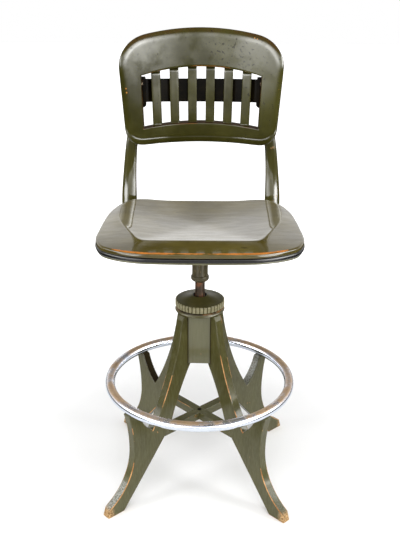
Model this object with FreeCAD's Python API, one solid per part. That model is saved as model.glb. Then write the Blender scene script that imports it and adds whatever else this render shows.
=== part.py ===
import FreeCAD, Part
import math
import os

# Drafting stool of painted wood with a screw-raised, swivelling seat and a tilting slatted back.
# Millimetres. The origin is on the stool's axis at the floor, +Z is up and the sitter faces -Y.
# Left and right are those of a viewer who stands in front of the stool.

Vec = FreeCAD.Vector
UP = Vec(0, 0, 1)

# Fits
running_fit = 0.05
glue_gap = 0.1
slide_gap = 0.3
screw_head_rim = 0.4

# Legs: each is one board cut to a Y and stood on edge, on the diagonals of the stool
base_turn = -1.6
leg_angles = {"rear_right": 45, "rear_left": 135, "front_left": 225, "front_right": 315}
leg_thickness = 21.0
toe_reach = 289.0
toe_height = 22.0
toe_slope = 7.0
heel_reach = 243.5
waist_reach = 208.5
waist_height = 146.0
arm_width = 25.0
arm_bulge = 5.5
crotch_reach = 154.0
crotch_height = 175.5
bar_bulge = 14.0
bar_top_reach = 63.0
bar_bevel = 10.0
bar_bevel_run = 7.0
arch_bulge = 5.0
shoulder_top_reach = 101.0
shoulder_low_reach = 119.0

# Foot ring: bent steel tube
ring_radius = 211.0
ring_height = 249.0
ring_tube_radius = 11.1
ring_wall = 1.6
ring_seat_depth = 2.5
ring_screw_radius = 2.2
ring_screw_head = 4.4
ring_screw_length = 52.0
ring_screw_sink = 0.6

# Stretchers: two bars half-lapped under the post
stretcher_top = 165.0
stretcher_depth = 20.0
stretcher_width = 21.0
tenon_width = 10.0
tenon_depth = 12.0
tenon_length = 24.0
lap_screw_radius = 2.5
lap_screw_length = 16.0

# Post: the block that the legs are housed in
post_half_width = 39.5
post_bottom = 311.0
post_top = 432.0
housing_reach = 36.0
post_recess_radius = 32.0
post_recess_depth = 16.0
dowel_radius = 5.0
dowel_length = 29.0
dowel_start = 23.5
dowel_margin = 27.0

# Guide tube in the post, with a flange under it and a keyway down its rear side
tube_bore = 17.0
tube_wall = 2.5
tube_bottom = 302.0
tube_flange_radius = 30.0
tube_flange_thickness = 3.0
keyway_width = 8.0
tube_screw_radius = 1.8
tube_screw_length = 14.0
tube_screw_circle = 25.0

# Top plate, fixed to the legs' upper ends
plate_radius = 56.5
plate_thickness = 8.4
plate_screw_circle = 45.0
plate_screw_radius = 2.2
plate_screw_head = 4.4
plate_screw_length = 28.0

# Hand wheel: the nut of the height screw, with a fluted edge
wheel_radius = 56.0
wheel_groove = 3.5
wheel_groove_height = 2.6
wheel_edge_height = 14.0
wheel_dome = 9.6
wheel_dome_bulge = 2.2
wheel_rim_bevel = 1.5
wheel_mouth = 15.0
wheel_mouth_depth = 14.6
flute_count = 40
flute_radius = 2.4
flute_depth = 1.3
sleeve_radius = 22.0
sleeve_length = 12.0
wheel_lift = 0.2
clip_thickness = 1.8
clip_radius = 27.0
clip_groove_depth = 2.0
clip_gap = 6.0

# Spindle and what runs on it
spindle_radius = 11.1
spindle_bottom = 330.0
spindle_seat_drop = 23.9
foot_height = 12.0
foot_lug_width = 7.6
foot_pin_radius = 2.5
swivel_groove_depth = 2.1
swivel_groove_height = 4.8
swivel_groove_place = 15.0

# Socket and spider under the seat
socket_radius = 17.8
socket_length = 83.0
socket_bead = 20.4
socket_bead_height = 10.0
socket_taper = 5.0
socket_cap = 4.0
washer_thickness = 1.8
spider_hub_radius = 24.0
spider_hub_height = 44.0
spider_reach = 150.0
spider_arm_width = 26.0
spider_arm_thickness = 6.0
spider_web_thickness = 8.0
spider_screw_radius = 2.4
spider_screw_head = 4.8
spider_screw_length = 13.0
swivel_screw_radius = 1.9

# Seat: a dished board on a lower board, with a black strip let in between them
seat_slope = 1.7
seat_over_post = 179.9
seat_half_width = 219.0
seat_front = 205.0
seat_rear = 198.0
rim_edge = 5.0
strip_height = 9.0
strip_depth = 6.0
strip_bulge = 1.2
board_edge = 10.0
board_thickness = 11.0
board_round = 3.5
board_lower_round = 2.0
crest_rise = 4.0
dish_depth = 16.0
dish_centre = 40.0
dish_floor_share = 0.05
rim_inset = 2.0
pocket_inset = 32.0
pocket_corner = 90.0
belly_inset = 65.5
belly_corner = 60.0
belly_bevel = 6.0
belly_depth = 8.0

# Uprights behind the seat's rear corners, each with a foot under the seat
upright_width = 27.0
upright_thickness = 17.0
upright_foot_start = 80.0
upright_foot_thickness = 20.0
upright_stand_off = 2.0
upright_inner_bend = 10.0
upright_outer_bend = 24.0
upright_foot_inset = 64.0
upright_top_inset = 59.5
upright_pivot_spread = 3.4
upright_bar_spread = 7.5
upright_back_spread = 23.5
upright_flare = 9.5
upright_straight_rise = 30.0
upright_flare_rise = 60.0
upright_screw_radius = 2.4
upright_screw_head = 4.8
upright_screw_length = 24.0

# Back: a curved board with a window, leaned back about its middle
back_lean = 6.0
back_place = 214.0
back_over_seat = 283.1
back_curve = 400.0
back_thickness = 20.0
back_round = 7.0
back_half_width = 187.5
back_waist_half_width = 175.5
back_top = 135.0
back_shoulder_height = 55.0
back_shoulder_reach = 125.0
back_shoulder_drop = 14.5
back_corner_bulge = 15.0
back_bottom_centre = -125.0
back_bottom = -131.5
back_bottom_corner = 38.0
window_half_top = 138.0
window_half_bottom = 132.5
window_top = 48.0
window_top_end = 27.5
window_bottom = -85.3
window_bottom_end = -95.0
sill_rise = 8.5
slat_count = 6
slat_width = 20.8
slat_pitch_top = 42.3
slat_pitch_bottom = 40.6
slat_set_back = 6.0
slat_thickness = 8.0
slat_tenon = 8.0
slat_tenon_shoulder = 2.0

# Steel bar that joins the tops of the uprights
bar_place = -7.0
bar_height = 53.0
bar_steel = 3.0
bar_stand_off = 26.0
bar_plate_top = 24.0
bar_plate_bottom = -46.0
bar_plate_width = 28.0
bar_plate_round = 8.0
bar_screw_radius = 2.5
bar_screw_head = 6.0
bar_screw_length = 13.0
bar_screw_rise = 19.0

# Pivots of the back
ear_gap = 0.8
ear_thickness = 3.0
ear_half_height = 11.0
pivot_flat_depth = 0.5
pivot_flat_half_height = 17.0
pivot_radius = 4.0
pivot_thread = 3.0
pivot_thread_length = 16.0
pivot_head = 8.0
pivot_head_thickness = 4.5
bracket_half_height = 20.0
bracket_width = 16.0
bracket_screw_radius = 2.0
bracket_screw_head = 4.0
bracket_screw_length = 12.0
bracket_screw_rise = 13.0

parts = {}

# Heights and reaches that follow from the values above
seat_base_height = post_top + seat_over_post
spindle_top = seat_base_height - spindle_seat_drop
socket_bottom = spindle_top - socket_length
back_height = seat_base_height + back_over_seat
upright_seat_reach = seat_half_width - upright_foot_inset
upright_top_reach = back_half_width - upright_top_inset
upright_pivot_reach = upright_top_reach + upright_pivot_spread
upright_bar_reach = upright_top_reach + upright_bar_spread
upright_back_reach = upright_top_reach + upright_back_spread


def cylinder(radius, low, high, x=0.0, y=0.0):
    return Part.makeCylinder(radius, high - low, Vec(x, y, low))


def ring_solid(inner, outer, low, high):
    return cylinder(outer, low, high).cut(cylinder(inner, low - 1, high + 1))


def box(x0, x1, y0, y1, z0, z1):
    return Part.makeBox(x1 - x0, y1 - y0, z1 - z0, Vec(x0, y0, z0))


def turned(shape, degrees):
    """A copy turned about the stool's axis."""
    copy = shape.copy()
    copy.rotate(Vec(0, 0, 0), UP, degrees)
    return copy


def mirrored(shape):
    """The same piece on the other side of the stool."""
    return shape.mirror(Vec(0, 0, 0), Vec(1, 0, 0))


def group(solids):
    return Part.makeCompound(solids)


def bulged(start, end, bulge):
    """An arc from start to end whose middle stands off to the left of the chord by the bulge."""
    chord = end - start
    side = chord.cross(Vec(0, 1, 0))
    side.normalize()
    middle = (start + end) * 0.5 + side * bulge
    return Part.Arc(start, middle, end).toShape()


def line(start, end):
    return Part.LineSegment(start, end).toShape()


def polygon_edges(points):
    return [line(a, b) for a, b in zip(points, points[1:])]


def slab(edges, thickness):
    """A board of this thickness from a closed outline in the XZ plane, centred on Y = 0."""
    face = Part.Face(Part.Wire(edges))
    face.translate(Vec(0, -thickness / 2, 0))
    return face.extrude(Vec(0, thickness, 0))


def revolved(points):
    """A turned solid from (radius, height) points."""
    closed = [Vec(r, 0, z) for r, z in points + points[:1]]
    return Part.Face(Part.Wire(polygon_edges(closed))).revolve(Vec(0, 0, 0), UP, 360)


def wood_screw(head, shank, length, clearance=0.0):
    """A countersunk screw pointing down from the origin; clearance makes it the hole for one."""
    cone_end = -screw_head_rim - (head - shank)
    return revolved([
        (0, clearance), (head + clearance, clearance), (head + clearance, -screw_head_rim),
        (shank + clearance, cone_end), (shank + clearance, -length), (0, -length),
    ])


# Legs and ring

arm_top = ring_height - ring_tube_radius
arm_outer = ring_radius + ring_tube_radius
arm_inner = arm_outer - arm_width


def arc_from_waist(point):
    """The arc between the leg's waist, where it stands upright, and a point of its outer edge."""
    waist = Vec(waist_reach, 0, waist_height)
    dx = point.x - waist_reach
    dz = point.z - waist_height
    radius = (dx * dx + dz * dz) / (2 * dx)
    half = math.atan2(abs(dz), radius - dx) / 2
    rise = radius * math.sin(half) * (1 if dz > 0 else -1)
    middle = Vec(waist_reach + radius - radius * math.cos(half), 0, waist_height + rise)
    return Part.Arc(waist, middle, point).toShape()


def leg_board():
    """A leg along +X, before it is turned to its corner."""
    heel = Vec(heel_reach, 0, 0)
    toe = Vec(toe_reach, 0, 0)
    toe_top = Vec(toe_reach - toe_slope, 0, toe_height)
    arm_out = Vec(arm_outer, 0, arm_top + ring_seat_depth)
    arm_in = Vec(arm_inner, 0, arm_top + ring_seat_depth)
    crotch = Vec(crotch_reach, 0, crotch_height)
    bar_top = Vec(bar_top_reach, 0, post_top - bar_bevel)
    bevel_top = Vec(bar_top_reach - bar_bevel_run, 0, post_top)
    inner_top = Vec(housing_reach, 0, post_top)
    inner_low = Vec(housing_reach, 0, post_bottom)
    shoulder_top = Vec(shoulder_top_reach, 0, stretcher_top)
    shoulder_low = Vec(shoulder_low_reach, 0, stretcher_top - stretcher_depth)
    edges = [
        line(heel, toe), line(toe, toe_top), arc_from_waist(toe_top), arc_from_waist(arm_out),
        line(arm_out, arm_in), bulged(arm_in, crotch, arm_bulge),
        bulged(crotch, bar_top, bar_bulge), line(bar_top, bevel_top), line(bevel_top, inner_top),
        line(inner_top, inner_low), bulged(inner_low, shoulder_top, arch_bulge),
        line(shoulder_top, shoulder_low), line(shoulder_low, heel),
    ]
    board = slab(Part.__sortEdges__(edges), leg_thickness)
    board = board.cut(ring_torus(ring_tube_radius + glue_gap))
    board = board.cut(tenon_solid(glue_gap))
    for height in dowel_heights():
        board = board.cut(dowel(height, glue_gap))
    board = board.cut(ring_screw(glue_gap))
    return board.cut(plate_screw(glue_gap))


def ring_torus(tube_radius):
    return Part.makeTorus(ring_radius, tube_radius, Vec(0, 0, ring_height), UP)


def ring_screw(clearance=0.0):
    screw = wood_screw(ring_screw_head, ring_screw_radius, ring_screw_length, clearance)
    screw.translate(Vec(ring_radius, 0, ring_height + ring_tube_radius - ring_screw_sink))
    return screw


def dowel_heights():
    return (post_bottom + dowel_margin, post_top - post_recess_depth - dowel_margin)


def dowel(height, clearance=0.0):
    start = Vec(dowel_start, 0, height)
    return Part.makeCylinder(dowel_radius + clearance, dowel_length, start, Vec(1, 0, 0))


def tenon_solid(clearance=0.0):
    """The tongue at a stretcher's end, along +X."""
    middle = stretcher_top - stretcher_depth / 2
    half_width = tenon_width / 2 + clearance
    half_depth = tenon_depth / 2 + clearance
    start = shoulder_top_reach - 1
    end = shoulder_low_reach + tenon_length + clearance
    return box(start, end, -half_width, half_width, middle - half_depth, middle + half_depth)


def stretcher(upper_half):
    """A bar along X; it loses its upper or lower half where the other bar crosses it."""
    low = stretcher_top - stretcher_depth
    corners = [
        Vec(-shoulder_top_reach, 0, stretcher_top), Vec(shoulder_top_reach, 0, stretcher_top),
        Vec(shoulder_low_reach, 0, low), Vec(-shoulder_low_reach, 0, low),
    ]
    bar = slab(polygon_edges(corners + corners[:1]), stretcher_width)
    tongue = tenon_solid()
    bar = bar.fuse([tongue, turned(tongue, 180)]).removeSplitter()
    half = stretcher_width / 2 + glue_gap
    middle = stretcher_top - stretcher_depth / 2
    if upper_half:
        lap = box(-half, half, -stretcher_width, stretcher_width, low - 1, middle)
    else:
        lap = box(-half, half, -stretcher_width, stretcher_width, middle, stretcher_top + 1)
    bar = bar.cut(lap)
    hole = lap_screw(glue_gap)
    return bar.cut(hole)


def lap_screw(clearance=0.0):
    screw = wood_screw(2 * lap_screw_radius, lap_screw_radius, lap_screw_length, clearance)
    screw.translate(Vec(0, 0, stretcher_top))
    return screw


def at_corner(shape, corner):
    return turned(shape, leg_angles[corner] + base_turn)


def at_corners(shape):
    return group([at_corner(shape, corner) for corner in leg_angles])


def foot_ring():
    hollow = ring_torus(ring_tube_radius).cut(ring_torus(ring_tube_radius - ring_wall))
    for corner in leg_angles:
        hollow = hollow.cut(at_corner(ring_screw(glue_gap), corner))
    return hollow


# Post, tube and plate

tube_radius = tube_bore + tube_wall


def post_block():
    side = post_half_width
    block = box(-side, side, -side, side, post_bottom, post_top)
    block = block.cut(cylinder(tube_radius + glue_gap, post_bottom - 1, post_top + 1))
    block = block.cut(cylinder(post_recess_radius, post_top - post_recess_depth, post_top + 1))
    half = leg_thickness / 2 + glue_gap
    reach = housing_reach - glue_gap
    housing = box(reach, 2 * side, -half, half, post_bottom - 1, post_top + 1)
    for angle in leg_angles.values():
        block = block.cut(turned(housing, angle))
        for height in dowel_heights():
            block = block.cut(turned(dowel(height, glue_gap), angle))
    for screw in tube_screws(glue_gap):
        block = block.cut(screw)
    return turned(block, base_turn)


def tube_screws(clearance=0.0):
    """Round-headed screws up through the tube's flange, between the legs."""
    head_top = post_bottom - tube_flange_thickness
    shank = cylinder(tube_screw_radius + clearance, head_top, head_top + tube_screw_length)
    head = cylinder(2 * tube_screw_radius, head_top - tube_screw_radius, head_top)
    screw = shank.fuse(head)
    screw.translate(Vec(tube_screw_circle, 0, 0))
    return [turned(screw, angle) for angle in (0, 90, 180, 270)]


def guide_tube():
    flange_low = post_bottom - tube_flange_thickness
    top = post_top - post_recess_depth
    tube = cylinder(tube_radius, tube_bottom, top)
    tube = tube.fuse(cylinder(tube_flange_radius, flange_low, post_bottom)).removeSplitter()
    tube = tube.cut(cylinder(tube_bore, tube_bottom - 1, top + 1))
    half = keyway_width / 2
    keyway = box(-half, half, 0, tube_radius - 0.5, tube_bottom - 1, top + 1)
    tube = tube.cut(keyway)
    for screw in tube_screws(glue_gap):
        tube = tube.cut(screw)
    return turned(tube, base_turn)


plate_top = post_top + plate_thickness


def plate_screw(clearance=0.0):
    screw = wood_screw(plate_screw_head, plate_screw_radius, plate_screw_length, clearance)
    screw.translate(Vec(plate_screw_circle, 0, plate_top))
    return screw


def top_plate():
    plate = ring_solid(sleeve_radius + running_fit, plate_radius, post_top, plate_top)
    for angle in leg_angles.values():
        plate = plate.cut(turned(plate_screw(glue_gap), angle))
    return turned(plate, base_turn)


# Hand wheel

wheel_bottom = plate_top + wheel_lift
rim_bottom = wheel_bottom + wheel_groove_height
rim_top = rim_bottom + wheel_edge_height
mouth_top = rim_top + wheel_dome
mouth_bottom = mouth_top - wheel_mouth_depth
sleeve_bottom = post_top - sleeve_length
clip_top = post_top - wheel_lift
clip_bottom = clip_top - clip_thickness


def hand_wheel():
    """A turned casting: fluted rim, domed top with a mouth, and a threaded sleeve below."""
    bore = spindle_radius + running_fit
    inner_groove = sleeve_radius - clip_groove_depth
    neck = wheel_radius - wheel_groove
    dome_start = Vec(wheel_radius - wheel_rim_bevel, 0, rim_top)
    dome_end = Vec(wheel_mouth, 0, mouth_top)
    outline = [
        Vec(wheel_mouth, 0, mouth_top), Vec(wheel_mouth, 0, mouth_bottom), Vec(bore, 0, mouth_bottom),
        Vec(bore, 0, sleeve_bottom), Vec(sleeve_radius, 0, sleeve_bottom),
        Vec(sleeve_radius, 0, clip_bottom - glue_gap), Vec(inner_groove, 0, clip_bottom - glue_gap),
        Vec(inner_groove, 0, clip_top + glue_gap), Vec(sleeve_radius, 0, clip_top + glue_gap),
        Vec(sleeve_radius, 0, wheel_bottom), Vec(neck, 0, wheel_bottom), Vec(neck, 0, rim_bottom),
        Vec(wheel_radius, 0, rim_bottom), Vec(wheel_radius, 0, rim_top - wheel_rim_bevel),
        dome_start,
    ]
    edges = polygon_edges(outline)
    edges.append(bulged(dome_start, dome_end, -wheel_dome_bulge))
    body = Part.Face(Part.Wire(edges)).revolve(Vec(0, 0, 0), UP, 360)
    flute_centre = wheel_radius + flute_radius - flute_depth
    flute = cylinder(flute_radius, rim_bottom - 1, rim_top + 2, x=flute_centre)
    flutes = [turned(flute, 360.0 * i / flute_count) for i in range(flute_count)]
    return body.cut(group(flutes))


def wheel_clip():
    """A spring ring in the sleeve's groove, which holds the wheel down on the plate."""
    ring = ring_solid(sleeve_radius - clip_groove_depth + glue_gap, clip_radius, clip_bottom, clip_top)
    half = clip_gap / 2
    gap = box(0, 2 * clip_radius, -half, half, clip_bottom - 1, clip_top + 1)
    return ring.cut(gap)


# Spindle

foot_bottom = spindle_bottom + 2
swivel_groove_centre = spindle_top - swivel_groove_place


def spindle():
    bar = cylinder(spindle_radius, spindle_bottom, spindle_top)
    low = swivel_groove_centre - swivel_groove_height / 2
    high = swivel_groove_centre + swivel_groove_height / 2
    groove = ring_solid(spindle_radius - swivel_groove_depth, spindle_radius + 1, low, high)
    return bar.cut(groove).cut(foot_pin(glue_gap))


def foot_pin(clearance=0.0):
    length = 2 * (tube_bore - 1.5)
    start = Vec(-length / 2, 0, foot_bottom + foot_height / 2)
    return Part.makeCylinder(foot_pin_radius + clearance, length, start, Vec(1, 0, 0))


def spindle_foot():
    """The collar at the spindle's lower end: it runs in the tube, and its lug in the keyway."""
    collar = cylinder(tube_bore - running_fit, foot_bottom, foot_bottom + foot_height)
    half = foot_lug_width / 2
    lug = box(-half, half, 0, tube_bore + tube_wall - 1, foot_bottom, foot_bottom + foot_height)
    collar = collar.fuse(turned(lug, base_turn)).removeSplitter()
    bore = spindle_radius + running_fit
    collar = collar.cut(cylinder(bore, foot_bottom - 1, foot_bottom + foot_height + 1))
    return collar.cut(foot_pin(glue_gap))


# Seat

def seat_plane(y):
    """Height of the lower board's underside at this distance behind the axis."""
    return seat_base_height - y * math.tan(math.radians(seat_slope))


def sloped(shape):
    """Moves a shape drawn above the seat's own flat plane to its place on the stool."""
    copy = shape.copy()
    copy.rotate(Vec(0, 0, 0), Vec(1, 0, 0), -seat_slope)
    copy.translate(Vec(0, 0, seat_base_height))
    return copy


# Stations round half of the seat, from the middle of its front edge to its rear edge. Each is a point
# of the outline and the point of the dish's crest inside it, as shares of the seat's half width and
# of its reach to the front or rear. At the rear the crest runs out past the edge.
seat_stations = [
    (0.0, -1.0, 0.0, -0.62), (0.369, -0.99, 0.28, -0.62), (0.558, -0.971, 0.46, -0.617),
    (0.76, -0.898, 0.565, -0.58), (0.908, -0.78, 0.636, -0.459), (0.977, -0.62, 0.7, -0.268),
    (1.0, -0.463, 0.751, -0.122), (0.993, -0.146, 0.82, 0.061), (0.979, 0.152, 0.857, 0.242),
    (0.951, 0.434, 0.864, 0.455), (0.868, 0.737, 0.866, 0.745), (0.768, 0.919, 0.793, 0.96),
    (0.632, 0.995, 0.645, 1.136), (0.36, 1.0, 0.369, 1.263),
]


def seat_place(x_share, y_share):
    return (x_share * seat_half_width, y_share * (seat_rear if y_share > 0 else seat_front))


def both_sides(half):
    """The half line of points and its mirror image, as one closed run."""
    return half + [(-x, y) for x, y in reversed(half) if x > 0]


def closed_curve(points, height):
    curve = Part.BSplineCurve()
    curve.interpolate(Points=[Vec(x, y, height) for x, y in points], PeriodicFlag=True)
    return Part.Wire([curve.toShape()])


def seat_outline(height, inset=0.0):
    """The seat's outline moved inward by the inset, as a closed curve at this height."""
    points = both_sides([seat_place(x, y) for x, y, _, _ in seat_stations])
    moved = []
    count = len(points)
    for i in range(count):
        before = points[i - 1]
        after = points[(i + 1) % count]
        dx = after[0] - before[0]
        dy = after[1] - before[1]
        length = math.hypot(dx, dy)
        moved.append((points[i][0] - inset * dy / length, points[i][1] + inset * dx / length))
    return closed_curve(moved, height)


def crest_outline(height, share=1.0):
    """The crest round the dish, drawn in or out from the dish's centre by the share."""
    points = both_sides([seat_place(x, y) for _, _, x, y in seat_stations])
    drawn = [(x * share, dish_centre + (y - dish_centre) * share) for x, y in points]
    return closed_curve(drawn, height)


def seat_layer(low, high, inset=0.0):
    face = Part.Face(seat_outline(low, inset))
    return face.extrude(Vec(0, 0, high - low))


def seat_loft(levels):
    """A solid through (height, inset) levels of the outline."""
    wires = [seat_outline(height, inset) for height, inset in levels]
    return Part.makeLoft(wires, True, True)


def inner_outline(height, inset, corner):
    """A round-cornered rectangle inside the seat's outline."""
    x = seat_half_width - inset
    front = -seat_front + inset
    rear = seat_rear - inset
    mid = corner * (1 - math.sqrt(0.5))
    edges = [
        line(Vec(-x + corner, front, height), Vec(x - corner, front, height)),
        Part.Arc(Vec(x - corner, front, height), Vec(x - mid, front + mid, height),
                 Vec(x, front + corner, height)).toShape(),
        line(Vec(x, front + corner, height), Vec(x, rear - corner, height)),
        Part.Arc(Vec(x, rear - corner, height), Vec(x - mid, rear - mid, height),
                 Vec(x - corner, rear, height)).toShape(),
        line(Vec(x - corner, rear, height), Vec(-x + corner, rear, height)),
        Part.Arc(Vec(-x + corner, rear, height), Vec(-x + mid, rear - mid, height),
                 Vec(-x, rear - corner, height)).toShape(),
        line(Vec(-x, rear - corner, height), Vec(-x, front + corner, height)),
        Part.Arc(Vec(-x, front + corner, height), Vec(-x + mid, front + mid, height),
                 Vec(-x + corner, front, height)).toShape(),
    ]
    return Part.Wire(edges)


def pocket_block(low, high, clearance=0.0):
    face = Part.Face(inner_outline(low, pocket_inset - clearance, pocket_corner))
    return face.extrude(Vec(0, 0, high - low))


strip_low = rim_edge
strip_high = rim_edge + strip_height
board_top = strip_high + board_edge


def dish(drop=0.0):
    """What the seat is hollowed by: a bowl under the crest; drop is how far below it this one lies."""
    levels = []
    for share in (dish_floor_share, 0.2, 0.4, 0.6, 0.8, 1.0, 1.2):
        height = board_top + crest_rise - dish_depth * (1 - share ** 2) - drop
        levels.append(crest_outline(height, share))
    return Part.makeLoft(levels, True, False)


def seat_rim():
    """The rim round the dish: it rises from the board's edge to the crest."""
    edge = seat_outline(board_top, board_round)
    crest = crest_outline(board_top + crest_rise)
    rim = Part.makeLoft([edge, crest], True, True)
    return rim.common(seat_layer(strip_high, board_top + 2 * crest_rise))


def seat_board():
    edge = seat_loft([
        (strip_high, 0.5 * board_lower_round), (strip_high + board_lower_round, 0),
        (board_top - board_round, 0), (board_top - 0.3 * board_round, 0.3 * board_round),
        (board_top, board_round),
    ])
    belly = pocket_block(-belly_depth, strip_high + 0.5).common(dish(board_thickness))
    return sloped(edge.fuse([seat_rim(), belly]).cut(dish()))


def edge_strip():
    outer = seat_loft([
        (strip_low, 0), (strip_low + 0.5 * strip_height, -strip_bulge), (strip_high, 0),
    ])
    return sloped(outer.cut(seat_layer(strip_low - 1, strip_high + 1, strip_depth)))


def seat_lower_board():
    """The lower board: a rebated edge, and a thicker middle that the dished board sinks into."""
    plate = seat_layer(0, strip_low, rim_inset).fuse(seat_layer(0, strip_high, strip_depth))
    lower = inner_outline(-belly_depth, belly_inset + belly_bevel, belly_corner)
    upper = inner_outline(0, belly_inset, belly_corner)
    middle = Part.makeLoft([lower, upper], True, True)
    plate = plate.fuse(middle).removeSplitter()
    pocket = dish(board_thickness + glue_gap)
    pocket = pocket.common(pocket_block(-belly_depth - 1, strip_high + 1, glue_gap))
    plate = plate.cut(pocket)
    for screw in spider_screws(glue_gap) + upright_screws(glue_gap):
        plate = plate.cut(screw)
    return sloped(plate)


def spider_screws(clearance=0.0):
    """Screws up through the spider's arms, drawn above the seat's plane."""
    screw = wood_screw(spider_screw_head, spider_screw_radius, spider_screw_length, clearance)
    screw.rotate(Vec(0, 0, 0), Vec(1, 0, 0), 180)
    low = -belly_depth - spider_arm_thickness
    screws = []
    for angle in leg_angles.values():
        copy = screw.copy()
        copy.translate(Vec(spider_reach - spider_arm_width / 2, 0, low))
        screws.append(turned(copy, angle))
    return screws


def upright_screws(clearance=0.0):
    """Screws up through the uprights' feet, drawn above the seat's plane."""
    screw = wood_screw(upright_screw_head, upright_screw_radius, upright_screw_length, clearance)
    screw.rotate(Vec(0, 0, 0), Vec(1, 0, 0), 180)
    x = upright_seat_reach + upright_width / 2
    start = upright_foot_start + upright_width / 2
    end = upright_foot_start + 3 * upright_width
    places = [(side * x, y) for side in (-1, 1) for y in (start, end)]
    screws = []
    for px, py in places:
        copy = screw.copy()
        copy.translate(Vec(px, py, -upright_foot_thickness))
        screws.append(copy)
    return screws


# Socket and spider

socket_top = spindle_top + washer_thickness + 2 * glue_gap + socket_cap


def socket_tube():
    bore = spindle_radius + running_fit
    inside_top = socket_top - socket_cap
    bead_top = socket_bottom + socket_bead_height
    low = socket_bottom - socket_taper
    tube = revolved([
        (bore, low), (bore + 1.5, low), (socket_bead - 1, socket_bottom), (socket_bead, socket_bottom + 2),
        (socket_bead, bead_top - 2), (socket_radius, bead_top), (socket_radius, socket_top),
        (0, socket_top), (0, inside_top), (bore, inside_top),
    ])
    return tube.cut(swivel_screw(glue_gap))


def swivel_screw(clearance=0.0):
    """The set screw whose tip runs in the spindle's groove, so that the seat can't lift off."""
    start = spindle_radius - swivel_groove_depth + slide_gap
    length = spider_hub_radius - start + 1
    axis_start = Vec(0, start, swivel_groove_centre)
    return Part.makeCylinder(swivel_screw_radius + clearance, length, axis_start, Vec(0, 1, 0))


def spider_arm():
    """One arm along +X, below the thick middle of the lower board: a flat flange and a web."""
    top = -belly_depth
    low = top - spider_arm_thickness
    half = spider_arm_width / 2
    flange = box(0, spider_reach - half, -half, half, low, top)
    flange = flange.fuse(cylinder(half, low, top, x=spider_reach - half))
    web_end = spider_reach - 2.2 * spider_arm_width
    web_low = top - spider_hub_height + 8
    web = polygon_edges([Vec(0, 0, low), Vec(web_end, 0, low), Vec(0, 0, web_low), Vec(0, 0, low)])
    return flange.fuse(slab(web, spider_web_thickness))


def seat_spider():
    arms = [turned(spider_arm(), angle) for angle in leg_angles.values()]
    star = sloped(arms[0].fuse(arms[1:]))
    hub_top = seat_base_height - belly_depth
    hub = cylinder(spider_hub_radius, hub_top - spider_hub_height, hub_top + 2)
    above = sloped(box(-spider_reach, spider_reach, -spider_reach, spider_reach, -belly_depth, socket_length))
    casting = star.fuse(hub).cut(above).removeSplitter()
    casting = casting.cut(cylinder(socket_radius + glue_gap, 0, socket_top))
    for screw in spider_screws(glue_gap):
        casting = casting.cut(sloped(screw))
    return casting.cut(swivel_screw(glue_gap))


def thrust_washer():
    return cylinder(spindle_radius - 0.3, spindle_top + glue_gap, spindle_top + glue_gap + washer_thickness)


# Back, drawn upright about its own middle and then leaned

def leaned(shape):
    copy = shape.copy()
    copy.rotate(Vec(0, 0, 0), Vec(1, 0, 0), -back_lean)
    copy.translate(Vec(0, back_place, back_height))
    return copy


def back_shell(front, rear, low=-back_half_width, high=back_half_width):
    """The curved space between two depths behind the back's front face."""
    axis_y = -back_curve
    outer = cylinder(back_curve + rear, low, high, y=axis_y)
    inner = cylinder(back_curve + front, low - 1, high + 1, y=axis_y)
    reach = back_curve + rear + 1
    front_half = box(-reach, reach, axis_y - reach, 0.75 * axis_y, low - 2, high + 2)
    return outer.cut(inner).cut(front_half)


def board_along_y(edges):
    """A deep block from an outline in the XZ plane, to cut the curved shell with."""
    return slab(Part.__sortEdges__(edges), back_curve)


def back_outline():
    top = Vec(0, 0, back_top)
    shoulder_z = back_top - back_shoulder_drop
    right = Vec(back_shoulder_reach, 0, shoulder_z)
    left = Vec(-back_shoulder_reach, 0, shoulder_z)
    wide_right = Vec(back_half_width, 0, back_shoulder_height)
    wide_left = Vec(-back_half_width, 0, back_shoulder_height)
    low_z = back_bottom + back_bottom_corner
    low_right = Vec(back_waist_half_width, 0, low_z)
    low_left = Vec(-back_waist_half_width, 0, low_z)
    corner_x = back_waist_half_width - back_bottom_corner
    corner_right = Vec(corner_x, 0, back_bottom)
    corner_left = Vec(-corner_x, 0, back_bottom)
    bulge = back_bottom_corner * (math.sqrt(2) - 1) / math.sqrt(2)
    return [
        Part.Arc(left, top, right).toShape(),
        bulged(right, wide_right, back_corner_bulge),
        line(wide_right, low_right),
        bulged(low_right, corner_right, bulge),
        Part.Arc(corner_right, Vec(0, 0, back_bottom_centre), corner_left).toShape(),
        bulged(corner_left, low_left, bulge),
        line(low_left, wide_left),
        bulged(wide_left, left, back_corner_bulge),
    ]


def window_outline(bottom_rise=0.0):
    top_left = Vec(-window_half_top, 0, window_top_end)
    top_right = Vec(window_half_top, 0, window_top_end)
    low_right = Vec(window_half_bottom, 0, window_bottom_end + bottom_rise)
    low_left = Vec(-window_half_bottom, 0, window_bottom_end + bottom_rise)
    return [
        Part.Arc(top_left, Vec(0, 0, window_top), top_right).toShape(),
        line(top_right, low_right),
        Part.Arc(low_right, Vec(0, 0, window_bottom + bottom_rise), low_left).toShape(),
        line(low_left, top_left),
    ]


def window_cut():
    """The window, whose sill rises towards the rear."""
    front = Part.Wire(Part.__sortEdges__(window_outline()))
    rear = Part.Wire(Part.__sortEdges__(window_outline(sill_rise)))
    depth = back_curve - math.sqrt(back_curve ** 2 - window_half_top ** 2)
    front.translate(Vec(0, -depth - 10, 0))
    rear.translate(Vec(0, back_thickness + 10, 0))
    return Part.makeLoft([front, rear], True, True)


def slat_limits():
    """x of each slat's centre at the window's top and bottom."""
    middle = (slat_count - 1) / 2
    return [((i - middle) * slat_pitch_top, (i - middle) * slat_pitch_bottom) for i in range(slat_count)]


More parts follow.
